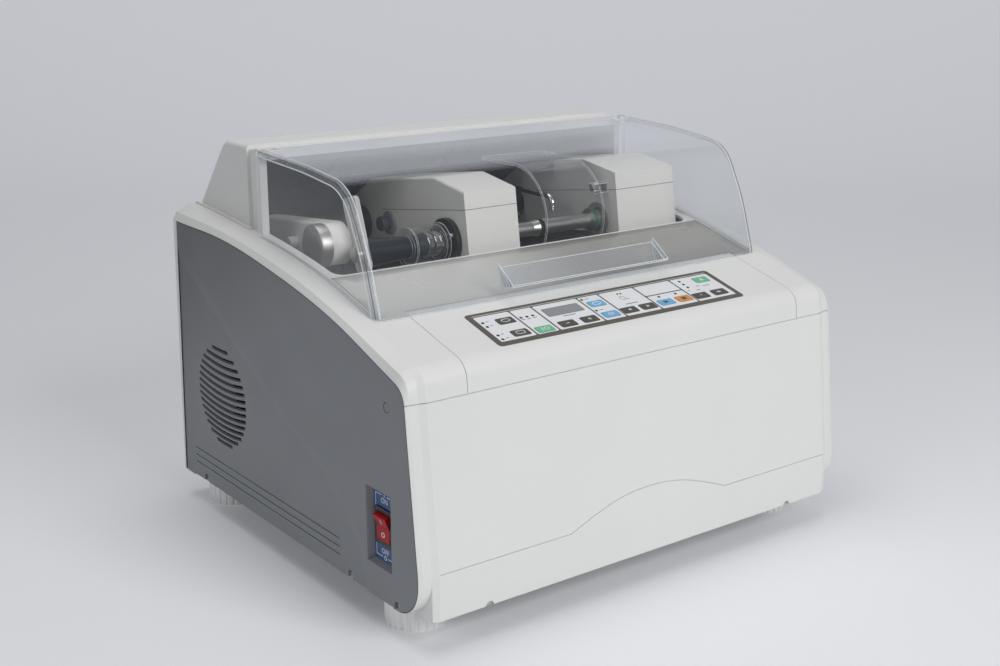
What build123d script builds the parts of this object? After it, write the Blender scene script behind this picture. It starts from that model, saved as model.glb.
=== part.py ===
from build123d import *
import os
from math import atan, cos, degrees, radians, sin

# Benchtop optical lens edger, in millimetres. +Z is up, the control deck faces -Y, and the
# origin is on the floor under the middle of the cabinet.

os.makedirs("parts", exist_ok=True)

# ---- driving dimensions ---------------------------------------------------------------------
WIDTH = 540
DEPTH = 484
FOOT_HEIGHT = 29
HUMP_TOP = 410
CLEARANCE = 0.3

HALF_WIDTH = WIDTH / 2
FRONT_Y = -DEPTH / 2
REAR_Y = DEPTH / 2
WALL = 3

# side view of the cabinet
REAR_TOP_Y = REAR_Y - 10
ROOF_REAR_Z = 333.8
ROOF_POINTS = [(133, 326.5), (20, 313.7), (-60, 299)]
DECK_START = (-139, 277.5)
DECK_SLOPE = 0.27
HIP_Z = 74.5
FRONT_LEAN = 0.1104
KNEE_RADIUS = 20
HIP_RADIUS = 60
SEAM_Z = 228.5
SEAM_GAP = 0.8

# how far each edge of the grey side panels lies inside the cabinet's side view
PANEL_TOP = 16
PANEL_SWELL = 6
PANEL_FRONT = 6
PANEL_BOTTOM = 2.4
PANEL_REAR = 8
PANEL_REAR_LOW = 3.5
PANEL_GAP = 0.8
PANEL_TOE_RADIUS = 35
PANEL_THICK = 4
LEDGE = 8

# clear hood
VISOR_HALF = 244
VISOR_WALL = 3
VISOR_REAR_Y = 82
HINGE_Y = 74
HINGE_Z = 402.5

# carriage head: its level axes are pitched up at the front by this angle when it is parked
HEAD_PITCH = 8.1
HEAD_Y = -31
HEAD_Z = 297
CHUCK_Y = 6
CHUCK_Z = 307.5
PIVOT_Y = 176
PIVOT_Z = 300

DECK_ANGLE = degrees(atan(DECK_SLOPE))


def side_outline(plane, top=0, front=0, bottom=0, rear=0, toe=2, swell=0, rear_low=None):
    """Side view of the cabinet as a face on a YZ plane, each edge drawn in by an amount.

    The top edge is drawn in less by the swell between the deck and the rear.
    """
    deck_y, deck_z = DECK_START
    knee_rise = DECK_SLOPE * (FRONT_Y + front - FRONT_LEAN * HIP_Z - deck_y)
    knee_z = (deck_z - top + knee_rise) / (1 - DECK_SLOPE * FRONT_LEAN)
    knee_y = FRONT_Y + front + FRONT_LEAN * (knee_z - HIP_Z)
    roof_rear = (REAR_TOP_Y - rear, ROOF_REAR_Z - top)
    roof_front = (deck_y, deck_z - top + swell)
    deck_fall = (roof_front[1] - knee_z) / (deck_y - knee_y)
    floor_z = FOOT_HEIGHT + bottom
    floor_rear_y = REAR_Y - (rear if rear_low is None else rear_low)
    with BuildSketch(plane) as outline:
        with BuildLine():
            Spline(
                roof_rear,
                *[(y, z - top + swell) for y, z in ROOF_POINTS],
                roof_front,
                tangents=[(-1, -0.06 + swell / 250), (-1, -deck_fall)],
            )
            FilletPolyline(
                roof_front,
                (knee_y, knee_z),
                (FRONT_Y + front, HIP_Z),
                (FRONT_Y + front, floor_z),
                (floor_rear_y, floor_z),
                radius=[KNEE_RADIUS, HIP_RADIUS, toe],
            )
            Line((floor_rear_y, floor_z), roof_rear)
        make_face()
    return outline.sketch


def grey_outline(plane, inset=0):
    """Outline of a grey side panel, drawn in evenly by an amount."""
    return side_outline(
        plane,
        top=PANEL_TOP + inset,
        front=PANEL_FRONT + inset,
        bottom=PANEL_BOTTOM + inset,
        rear=PANEL_REAR + inset,
        toe=PANEL_TOE_RADIUS - inset,
        swell=PANEL_SWELL,
        rear_low=PANEL_REAR_LOW + inset,
    )


# ---- cabinet mouldings ----------------------------------------------------------------------
# One outer form: a middle block whose side edges step back, and a rounded rim band outside it.
STEP_X = 251
RIM_X = 257
RIM_SECTIONS = [
    (RIM_X - 6, 2.5, 2.5, 1, 40, 1.5),
    (RIM_X, 2.5, 2.5, 1, 40, 1.5),
    (HALF_WIDTH - 4, 6.5, 3.3, 1, 39, 3.5),
    (HALF_WIDTH, PANEL_TOP - 1.6, PANEL_FRONT - 1.5, 1.2, 37, PANEL_SWELL),
]
INNER_X = 250

with BuildPart() as form:
    extrude(side_outline(Plane.YZ), amount=STEP_X, both=True)
    for side in (-1, 1):
        loft(
            [
                side_outline(Plane.YZ.offset(side * STEP_X)),
                side_outline(Plane.YZ.offset(side * RIM_X), top=2.5, front=2.5, swell=1.5),
            ],
            ruled=True,
        )
        loft(
            [
                side_outline(
                    Plane.YZ.offset(side * x),
                    top=top,
                    front=front,
                    bottom=low,
                    toe=toe,
                    swell=swell,
                )
                for x, top, front, low, toe, swell in RIM_SECTIONS
            ],
            ruled=True,
        )

# The wall that is left when the inside and the two side windows are cut from that form.
with BuildPart() as casing:
    add(form.part)
    extrude(
        side_outline(Plane.YZ, top=WALL, front=WALL, bottom=-20, rear=WALL),
        amount=INNER_X,
        both=True,
        mode=Mode.SUBTRACT,
    )
    for side in (-1, 1):
        panel_back = Plane.YZ.offset(side * (HALF_WIDTH - PANEL_THICK))
        extrude(
            grey_outline(panel_back, -PANEL_GAP),
            amount=side * (PANEL_THICK + 1),
            mode=Mode.SUBTRACT,
        )
        extrude(
            grey_outline(Plane.YZ.offset(side * (INNER_X - 1)), LEDGE),
            amount=side * (HALF_WIDTH - INNER_X),
            mode=Mode.SUBTRACT,
        )


ARCH = [(-101, HIP_Z), (-74, 84.7), (-37, 95), (0, 98.2), (37, 95), (74, 84.7), (101, HIP_Z)]
FRONT_BACK_Y = -195
BACK_FRONT_Y = 216
BACK_TOP_Z = 300
DECK_LEFT = -207
DECK_RIGHT = 215
DECK_REAR_Y = -126
DECK_GAP = 0.3
GROOVE_DEPTH = 1.2


def block(x_ends, y_ends, z_ends, mode=Mode.ADD):
    """A box between two corners."""
    middle = [(low + high) / 2 for low, high in (x_ends, y_ends, z_ends)]
    size = [high - low for low, high in (x_ends, y_ends, z_ends)]
    with Locations(tuple(middle)):
        Box(*size, mode=mode)


def round_bar(x_ends, centre, radius, mode=Mode.ADD, end_radius=None):
    """A round bar, or a taper, that lies along X with its axis at (y, z)."""
    length = x_ends[1] - x_ends[0]
    with Locations(Location((x_ends[0], *centre), (0, 90, 0))):
        if end_radius is None:
            Cylinder(radius, length, align=(Align.CENTER, Align.CENTER, Align.MIN), mode=mode)
        else:
            Cone(
                radius,
                end_radius,
                length,
                align=(Align.CENTER, Align.CENTER, Align.MIN),
                mode=mode,
            )


def below_arch(plane, rise):
    """Front view of everything below the arched parting line, raised by an amount."""
    with BuildSketch(plane) as lower:
        with BuildLine():
            Polyline(
                (-INNER_X, HIP_Z + rise),
                (-INNER_X, 0),
                (INNER_X, 0),
                (INNER_X, HIP_Z + rise),
                (ARCH[-1][0], HIP_Z + rise),
            )
            Spline(*[(x, z + rise) for x, z in reversed(ARCH)])
            Line((ARCH[0][0], HIP_Z + rise), (-INNER_X, HIP_Z + rise))
        make_face()
    return lower.sketch


# The parting lines of the front mouldings show as narrow grooves; behind them the pieces meet.
with BuildPart() as arch_groove:
    extrude(below_arch(Plane.XZ.offset(-FRONT_Y + 1), SEAM_GAP / 2), amount=-20)
    extrude(
        below_arch(Plane.XZ.offset(-FRONT_Y + 1), -SEAM_GAP / 2),
        amount=-20,
        mode=Mode.SUBTRACT,
    )
    block((-INNER_X - 1, INNER_X + 1), (-260, -200), (0, 60), Mode.SUBTRACT)
    extrude(
        side_outline(Plane.YZ, front=GROOVE_DEPTH, top=GROOVE_DEPTH),
        amount=INNER_X + 5,
        both=True,
        mode=Mode.SUBTRACT,
    )

SEAM_PLAN = [(HALF_WIDTH - GROOVE_DEPTH, -190), (HALF_WIDTH - GROOVE_DEPTH, -219.3)]
SEAM_PLAN += [(RIM_X, -221.2), (STEP_X - GROOVE_DEPTH, -221.2), (STEP_X - GROOVE_DEPTH, -223.7)]
with BuildPart() as seam_groove:
    block(
        (-HALF_WIDTH - 1, HALF_WIDTH + 1),
        (-240, -200),
        (SEAM_Z - SEAM_GAP / 2, SEAM_Z + SEAM_GAP / 2),
    )
    with BuildSketch(Plane.XY.offset(SEAM_Z - 5)):
        with BuildLine():
            Polyline(*SEAM_PLAN, *[(-x, y) for x, y in reversed(SEAM_PLAN)], close=True)
        make_face()
    extrude(amount=10, mode=Mode.SUBTRACT)

with BuildPart() as front_panel:
    add(casing.part)
    block((-300, 300), (FRONT_BACK_Y, 300), (0, 500), Mode.SUBTRACT)
    block((-300, 300), (-300, 300), (SEAM_Z, 500), Mode.SUBTRACT)
    extrude(below_arch(Plane.XZ.offset(-FRONT_Y + 1), 0), amount=-20, mode=Mode.SUBTRACT)
    add(seam_groove.part, mode=Mode.SUBTRACT)
    add(arch_groove.part, mode=Mode.SUBTRACT)
front_panel.part.label = "front_panel"
export_step(front_panel.part, "parts/front_panel.step")

NOTCH_X = 196
NOTCH_RADIUS = 5
with BuildPart() as front_skirt:
    add(casing.part)
    extrude(below_arch(Plane.XZ.offset(-FRONT_Y + 1), 0), amount=-20, mode=Mode.INTERSECT)
    add(arch_groove.part, mode=Mode.SUBTRACT)
    for x in (-NOTCH_X, NOTCH_X):
        with Locations(Location((x, FRONT_Y, FOOT_HEIGHT), (90, 0, 0))):
            Cylinder(NOTCH_RADIUS, 20, mode=Mode.SUBTRACT)
front_skirt.part.label = "front_skirt"
export_step(front_skirt.part, "parts/front_skirt.step")

OPEN_HALF = 230
OPEN_FRONT_Y = -44
OPEN_REAR_Y = 212
OPEN_RADIUS = 12
LIP = 6
with BuildPart() as top_cover:
    add(casing.part)
    block((-300, 300), (-300, 300), (0, SEAM_Z), Mode.SUBTRACT)
    block((-300, 300), (BACK_FRONT_Y, 300), (0, BACK_TOP_Z), Mode.SUBTRACT)
    block(
        (DECK_LEFT - DECK_GAP, DECK_RIGHT + DECK_GAP),
        (-300, DECK_REAR_Y + DECK_GAP),
        (0, 500),
        Mode.SUBTRACT,
    )
    with BuildSketch(Plane.XY.offset(200)):
        with Locations((0, (OPEN_FRONT_Y + OPEN_REAR_Y) / 2)):
            RectangleRounded(2 * OPEN_HALF, OPEN_REAR_Y - OPEN_FRONT_Y, OPEN_RADIUS)
    extrude(amount=200, mode=Mode.SUBTRACT)
    # the deck's edges rest on lips below the cover
    with BuildPart(mode=Mode.PRIVATE) as deck_lips:
        extrude(
            side_outline(Plane.YZ, top=WALL, front=WALL, bottom=-20, rear=WALL),
            amount=DECK_RIGHT + LIP,
            both=True,
        )
        extrude(
            side_outline(Plane.YZ, top=2 * WALL, front=2 * WALL),
            amount=DECK_RIGHT + 2 * LIP,
            both=True,
            mode=Mode.SUBTRACT,
        )
        block((-300, DECK_LEFT - LIP), (-300, 300), (0, 500), Mode.SUBTRACT)
        block(
            (DECK_LEFT + LIP, DECK_RIGHT - LIP),
            (-300, DECK_REAR_Y - LIP),
            (0, 500),
            Mode.SUBTRACT,
        )
        block((-300, 300), (DECK_REAR_Y + LIP, 300), (0, 500), Mode.SUBTRACT)
        block((-300, 300), (-300, 300), (0, SEAM_Z + 4), Mode.SUBTRACT)
    add(deck_lips.part)
    add(seam_groove.part, mode=Mode.SUBTRACT)
top_cover.part.label = "top_cover"
export_step(top_cover.part, "parts/top_cover.step")

# ---- control deck, keypad and keys ----------------------------------------------------------
KEYPAD_X = -3
KEYPAD_WIDTH = 312
KEYPAD_DEPTH = 60
KEYPAD_Y = -179.25
POCKET = 1.0
OVERLAY_TOP = 0.4
KEY_LOW = -0.4
KEY_TOP = 1.0
KEY_SIZE = (19, 10.5)
KEY_GAP = 0.4
DISPLAY = (-57, 8.3)
DISPLAY_SIZE = (42, 12.5)
LED_RADIUS = 1.1
KEYS = {
    "key_shape_upper": (-125, 9.1),
    "key_shape_lower": (-125, -14.6),
    "key_mode": (-98.1, -16.7),
    "key_minus": (-69.7, -15.5),
    "key_plus": (-42.9, -15.5),
    "key_size_upper": (-15.1, 8),
    "key_size_lower": (-15.1, -14.5),
    "key_left": (9.2, -14),
    "key_right": (33.4, -14),
    "key_start": (58.6, -13.3),
    "key_stop": (82.3, -13.3),
    "key_water": (131.8, 14),
    "key_head_left": (105.8, -14.2),
    "key_head_right": (131.3, -14.2),
}
LEDS = [(-149, v) for v in (12.2, 4.7, -12.2, -19.7)]
LEDS += [(x, 8.9) for x in (-107, -100, -93.1)]
LEDS += [(-25, 19), (-25, -4), (19.4, 17), (23.4, 17), (58.5, -2), (81, -2)]
LEDS += [(104.5, v) for v in (17.8, 11.3, 4.7)]

DECK_NORMAL = (0, -sin(radians(DECK_ANGLE)), cos(radians(DECK_ANGLE)))
KEYPAD_Z = DECK_START[1] + DECK_SLOPE * (KEYPAD_Y - DECK_START[0])
KEYPAD = Plane(origin=(0, KEYPAD_Y, KEYPAD_Z), x_dir=(1, 0, 0), z_dir=DECK_NORMAL)

with BuildPart() as control_deck:
    add(casing.part)
    block(
        (DECK_LEFT + DECK_GAP, DECK_RIGHT - DECK_GAP),
        (-300, DECK_REAR_Y),
        (SEAM_Z, 500),
        Mode.INTERSECT,
    )
    add(seam_groove.part, mode=Mode.SUBTRACT)
    with BuildSketch(KEYPAD.offset(-POCKET)):
        with Locations((KEYPAD_X, 0)):
            RectangleRounded(KEYPAD_WIDTH, KEYPAD_DEPTH, 4)
    extrude(amount=10, mode=Mode.SUBTRACT)
control_deck.part.label = "control_deck"
export_step(control_deck.part, "parts/control_deck.step")

with BuildPart() as keypad_overlay:
    with BuildSketch(KEYPAD.offset(-POCKET)):
        with Locations((KEYPAD_X, 0)):
            RectangleRounded(KEYPAD_WIDTH, KEYPAD_DEPTH, 4)
        with Locations(*KEYS.values()):
            RectangleRounded(
                KEY_SIZE[0] + 2 * KEY_GAP, KEY_SIZE[1] + 2 * KEY_GAP, 2.4, mode=Mode.SUBTRACT
            )
        with Locations(*LEDS):
            Circle(LED_RADIUS, mode=Mode.SUBTRACT)
        with Locations(DISPLAY):
            RectangleRounded(*DISPLAY_SIZE, 1, mode=Mode.SUBTRACT)
    extrude(amount=POCKET + OVERLAY_TOP)
keypad_overlay.part.label = "keypad_overlay"
export_step(keypad_overlay.part, "parts/keypad_overlay.step")

with BuildPart() as display_window:
    with BuildSketch(KEYPAD.offset(-POCKET)):
        with Locations(DISPLAY):
            RectangleRounded(*DISPLAY_SIZE, 1)
    extrude(amount=POCKET + OVERLAY_TOP + 0.4)
display_window.part.label = "display_window"
export_step(display_window.part, "parts/display_window.step")

with BuildPart() as indicator_leds:
    with BuildSketch(KEYPAD.offset(-POCKET)):
        with Locations(*LEDS):
            Circle(LED_RADIUS)
    extrude(amount=POCKET + OVERLAY_TOP + 0.4)
indicator_leds.part.label = "indicator_leds"
export_step(indicator_leds.part, "parts/indicator_leds.step")

for name, place in KEYS.items():
    with BuildPart() as key:
        with BuildSketch(KEYPAD.offset(KEY_LOW)):
            with Locations(place):
                RectangleRounded(*KEY_SIZE, 2)
        extrude(amount=KEY_TOP - KEY_LOW)
        fillet(key.faces().sort_by(Axis(KEYPAD.origin, DECK_NORMAL))[-1].edges(), 0.4)
    key.part.label = name
    export_step(key.part, f"parts/{name}.step")

# ---- back panel and what sits in its bay ----------------------------------------------------
BAY_X = (-40, 120)
BAY_Z = (60, 130)
BAY_FLOOR_Y = 224
BACK_SCREWS = [(x, z) for x in (-258, 258) for z in (60, 165, 270)]
SCREW_HEAD = 3.8
SCREW_DEEP = 3
INLET_X = -8
SPIGOT_X = (58, 92)
BAY_MIDDLE_Z = 95


def back_screw(x, z, length, mode=Mode.ADD):
    """The head of one screw in the leaning back face."""
    wall_y = REAR_Y - (REAR_Y - REAR_TOP_Y) * (z - FOOT_HEIGHT) / (ROOF_REAR_Z - FOOT_HEIGHT)
    with Locations(Location((x, wall_y - SCREW_DEEP, z), (-90, 0, 0))):
        Cylinder(SCREW_HEAD, length, align=(Align.CENTER, Align.CENTER, Align.MIN), mode=mode)


with BuildPart() as back_panel:
    add(casing.part)
    block((-300, 300), (BACK_FRONT_Y, 300), (0, BACK_TOP_Z), Mode.INTERSECT)
    block(
        (BAY_X[0] - WALL, BAY_X[1] + WALL),
        (BAY_FLOOR_Y - WALL, REAR_Y - 3.6),
        (BAY_Z[0] - WALL, BAY_Z[1] + WALL),
    )
    block(BAY_X, (BAY_FLOOR_Y, 300), BAY_Z, Mode.SUBTRACT)
    for x, z in BACK_SCREWS:
        back_screw(x, z, 10, Mode.SUBTRACT)
back_panel.part.label = "back_panel"
export_step(back_panel.part, "parts/back_panel.step")

with BuildPart() as power_inlet:
    block(
        (INLET_X - 24, INLET_X + 24),
        (BAY_FLOOR_Y, BAY_FLOOR_Y + 3),
        (BAY_MIDDLE_Z - 15, BAY_MIDDLE_Z + 15),
    )
    block(
        (INLET_X - 14, INLET_X + 14),
        (BAY_FLOOR_Y + 3, BAY_FLOOR_Y + 8),
        (BAY_MIDDLE_Z - 11, BAY_MIDDLE_Z + 11),
    )
    block(
        (INLET_X - 12, INLET_X + 12),
        (BAY_FLOOR_Y + 2, BAY_FLOOR_Y + 9),
        (BAY_MIDDLE_Z - 8.5, BAY_MIDDLE_Z + 8.5),
        Mode.SUBTRACT,
    )
    for shift in (-7, 0, 7):
        block(
            (INLET_X + shift - 1.2, INLET_X + shift + 1.2),
            (BAY_FLOOR_Y + 2, BAY_FLOOR_Y + 7),
            (BAY_MIDDLE_Z - 2.5, BAY_MIDDLE_Z + 2.5),
        )
power_inlet.part.label = "power_inlet"
export_step(power_inlet.part, "parts/power_inlet.step")

with BuildPart() as hose_spigots:
    for x in SPIGOT_X:
        with Locations(Location((x, BAY_FLOOR_Y, BAY_MIDDLE_Z), (-90, 0, 0))):
            Cylinder(13, 4, align=(Align.CENTER, Align.CENTER, Align.MIN))
            Cylinder(8, 15, align=(Align.CENTER, Align.CENTER, Align.MIN))
            with Locations((0, 0, 9)):
                Cone(10, 8, 5, align=(Align.CENTER, Align.CENTER, Align.MIN))
            with Locations((0, 0, 1)):
                Cylinder(5.5, 20, align=(Align.CENTER, Align.CENTER, Align.MIN), mode=Mode.SUBTRACT)
hose_spigots.part.label = "hose_spigots"
export_step(hose_spigots.part, "parts/hose_spigots.step")

# ---- side panels, base and feet -------------------------------------------------------------
VENT = (137, 142)
VENT_RADIUS = 55
SLOT_PITCH = 7.4
SLOT_HEIGHT = 4.2
SLOT_SAG = 6
SLOT_COUNT = 15
SLOT_RISE = 0.36
GROOVE_LEVELS = (65, 56.5, 48.5)
GROOVE_Y = (-101, 211)
# a swept line crosses each panel; below and behind it the face lies a little deeper
SWEEP = [(245, 286), (163.8, 243.2), (77.3, 192.6), (-3.7, 150.9), (-88.6, 115), (-141, 58.5)]
SWEEP += [(-147, 15)]
SWEEP_EDGE = [(238, 298), (157, 255), (71, 204), (-9, 162), (-96, 123), (-151, 61), (-157, 15)]
SWEEP_DEPTH = 1
SWITCH_FLOOR = 263
PLUG = (-191.5, 219.5)
SWITCH_Y = -174
SWITCH_Z = 100
TRAY_OUTER = (41.4, 74)
TRAY_INNER = (36, 69)
TRAY_SHEET = 2
BEZEL = (25, 32)
SWITCH_BOX = (24.4, 30)
NOTCH_Y = (188, -120, -202)


def side_panel(side):
    """One grey side panel; side is -1 for the left one and 1 for the right one."""
    face = Plane(origin=(side * HALF_WIDTH, 0, 0), x_dir=(0, 1, 0), z_dir=(1, 0, 0))
    with BuildPart() as panel:
        extrude(
            grey_outline(Plane.YZ.offset(side * (HALF_WIDTH - PANEL_THICK))),
            amount=side * PANEL_THICK,
        )
        with BuildPart(mode=Mode.PRIVATE) as hollow_face:
            for depth, line in ((0, SWEEP_EDGE), (SWEEP_DEPTH, SWEEP)):
                with BuildSketch(face.offset(-side * depth)):
                    with BuildLine():
                        Spline(*line)
                        Polyline(line[-1], (300 - depth, line[-1][1]), (300 - depth, line[0][1]), line[0])
                    make_face()
            loft(ruled=True)
        add(hollow_face.part, mode=Mode.SUBTRACT)
        with BuildSketch(face) as slots:
            for step in range(SLOT_COUNT):
                rise = (step - (SLOT_COUNT - 1) / 2) * SLOT_PITCH
                reach = (VENT_RADIUS**2 - rise**2) ** 0.5 - SLOT_HEIGHT / 2
                sag = SLOT_SAG * (reach / VENT_RADIUS) ** 2
                with BuildLine(mode=Mode.PRIVATE) as line:
                    ThreePointArc(
                        (VENT[0] - reach, VENT[1] + rise),
                        (VENT[0], VENT[1] + rise - sag),
                        (VENT[0] + reach, VENT[1] + rise),
                    )
                SlotArc(line.wire(), SLOT_HEIGHT)
        # the slots rise towards the inside, so that splashes run back out
        extrude(amount=6, dir=(-side, 0, SLOT_RISE), mode=Mode.SUBTRACT)
        for level in GROOVE_LEVELS:
            block(
                (side * HALF_WIDTH - 1.8, side * HALF_WIDTH + 1.8),
                GROOVE_Y,
                (level - 0.7, level + 0.7),
                Mode.SUBTRACT,
            )
        for notch_y in NOTCH_Y:
            with Locations(Location((side * HALF_WIDTH, notch_y, 35.5), (0, 90, 0))):
                Cylinder(4, 20, mode=Mode.SUBTRACT)
            block(
                (side * HALF_WIDTH - 10, side * HALF_WIDTH + 10),
                (notch_y - 4, notch_y + 4),
                (25, 35.5),
                Mode.SUBTRACT,
            )
        with Locations(Location((side * HALF_WIDTH, *PLUG), (0, 90, 0))):
            Cylinder(5, 3, mode=Mode.SUBTRACT)
        if side < 0:
            middle = (SWITCH_Y, SWITCH_Z)
            tray_sizes = [(HALF_WIDTH - 2, TRAY_OUTER), (SWITCH_FLOOR - TRAY_SHEET, TRAY_INNER)]
            with BuildPart(mode=Mode.PRIVATE) as tray:
                for x, (wide, tall) in tray_sizes:
                    with BuildSketch(Plane.YZ.offset(-x)):
                        with Locations(middle):
                            Rectangle(wide + 2 * TRAY_SHEET, tall + 2 * TRAY_SHEET)
                loft(ruled=True)
            add(tray.part)
            with BuildPart(mode=Mode.PRIVATE) as hollow:
                for x, (wide, tall) in ((HALF_WIDTH, TRAY_OUTER), (SWITCH_FLOOR, TRAY_INNER)):
                    with BuildSketch(Plane.YZ.offset(-x)):
                        with Locations(middle):
                            Rectangle(wide, tall)
                loft(ruled=True)
            add(hollow.part, mode=Mode.SUBTRACT)
            with BuildSketch(Plane.YZ.offset(-HALF_WIDTH)):
                with Locations(middle):
                    Rectangle(*SWITCH_BOX)
            extrude(amount=20, mode=Mode.SUBTRACT)
    return panel.part


left_side_panel = side_panel(-1)
left_side_panel.label = "left_side_panel"
export_step(left_side_panel, "parts/left_side_panel.step")

right_side_panel = side_panel(1)
right_side_panel.label = "right_side_panel"
export_step(right_side_panel, "parts/right_side_panel.step")

SHEET = 2
FLANGE_TOP = 52
PANEL_BACK_X = HALF_WIDTH - PANEL_THICK
with BuildPart() as base_pan:
    block(
        (-PANEL_BACK_X, PANEL_BACK_X),
        (FRONT_BACK_Y, BACK_FRONT_Y),
        (FOOT_HEIGHT, FOOT_HEIGHT + SHEET),
    )
    block(
        (-INNER_X + 0.5, INNER_X - 0.5),
        (FRONT_Y + WALL, 237.5),
        (FOOT_HEIGHT, FOOT_HEIGHT + SHEET),
    )
    block(
        (-INNER_X + 0.5, INNER_X - 0.5),
        (FRONT_Y + WALL, FRONT_Y + WALL + SHEET),
        (FOOT_HEIGHT, 60),
    )
    for side in (-1, 1):
        ends = sorted((side * PANEL_BACK_X, side * (PANEL_BACK_X - SHEET)))
        block(ends, (FRONT_BACK_Y, BACK_FRONT_Y), (FOOT_HEIGHT, FLANGE_TOP))
base_pan.part.label = "base_pan"
export_step(base_pan.part, "parts/base_pan.step")

FOOT_PLACES = [(-231, -172), (231, -172), (-229, 200), (229, 200)]
FOOT_RADIUS = 29
RIB_COUNT = 24
with BuildPart() as feet:
    with BuildSketch(Plane.XY):
        with Locations(*FOOT_PLACES):
            Circle(FOOT_RADIUS)
            with PolarLocations(FOOT_RADIUS + 0.4, RIB_COUNT):
                Circle(1.9, mode=Mode.SUBTRACT)
    extrude(amount=FOOT_HEIGHT - 4)
    with BuildSketch(Plane.XY.offset(FOOT_HEIGHT - 4)):
        with Locations(*FOOT_PLACES):
            Circle(FOOT_RADIUS - 3)
    extrude(amount=4)
feet.part.label = "feet"
export_step(feet.part, "parts/feet.step")

# ---- power switch ---------------------------------------------------------------------------
ROCKER_RADIUS = 13.2
ROCKER_WIDTH = 21.2
ROCKER_TILT = 10
with BuildPart() as switch_bezel:
    with BuildSketch(Plane.YZ.offset(-SWITCH_FLOOR)):
        with Locations((SWITCH_Y, SWITCH_Z)):
            RectangleRounded(BEZEL[0] + 4, BEZEL[1] + 4, 2)
    extrude(amount=-2)
    with BuildSketch(Plane.YZ.offset(-SWITCH_FLOOR)):
        with Locations((SWITCH_Y, SWITCH_Z)):
            Rectangle(*SWITCH_BOX)
    extrude(amount=26)
    with BuildSketch(Plane.YZ.offset(-SWITCH_FLOOR - 3)):
        with Locations((SWITCH_Y, SWITCH_Z)):
            Rectangle(21.8, 27.4)
    extrude(amount=18, mode=Mode.SUBTRACT)
switch_bezel.part.label = "switch_bezel"
export_step(switch_bezel.part, "parts/switch_bezel.step")

# Side view of the rocker, parked with its top half out: first axis points out, second one up.
TILT_OUT = radians(ROCKER_TILT)
ROCKER_PARKED = Plane(
    origin=(-SWITCH_FLOOR, SWITCH_Y, SWITCH_Z),
    x_dir=(-cos(TILT_OUT), 0, -sin(TILT_OUT)),
    z_dir=(0, 1, 0),
)
with BuildPart() as power_rocker:
    with BuildSketch(ROCKER_PARKED):
        Circle(ROCKER_RADIUS)
        with BuildLine():
            Polyline((2.2, 0), (5, 13.2), (20, 13.2), (20, -13.2), (5, -13.2), close=True)
        make_face(mode=Mode.SUBTRACT)
        with Locations((-16, 0)):
            Rectangle(16, 40, mode=Mode.SUBTRACT)
    extrude(amount=ROCKER_WIDTH / 2, both=True)
power_rocker.part.label = "power_rocker"
export_step(power_rocker.part, "parts/power_rocker.step")

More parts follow.
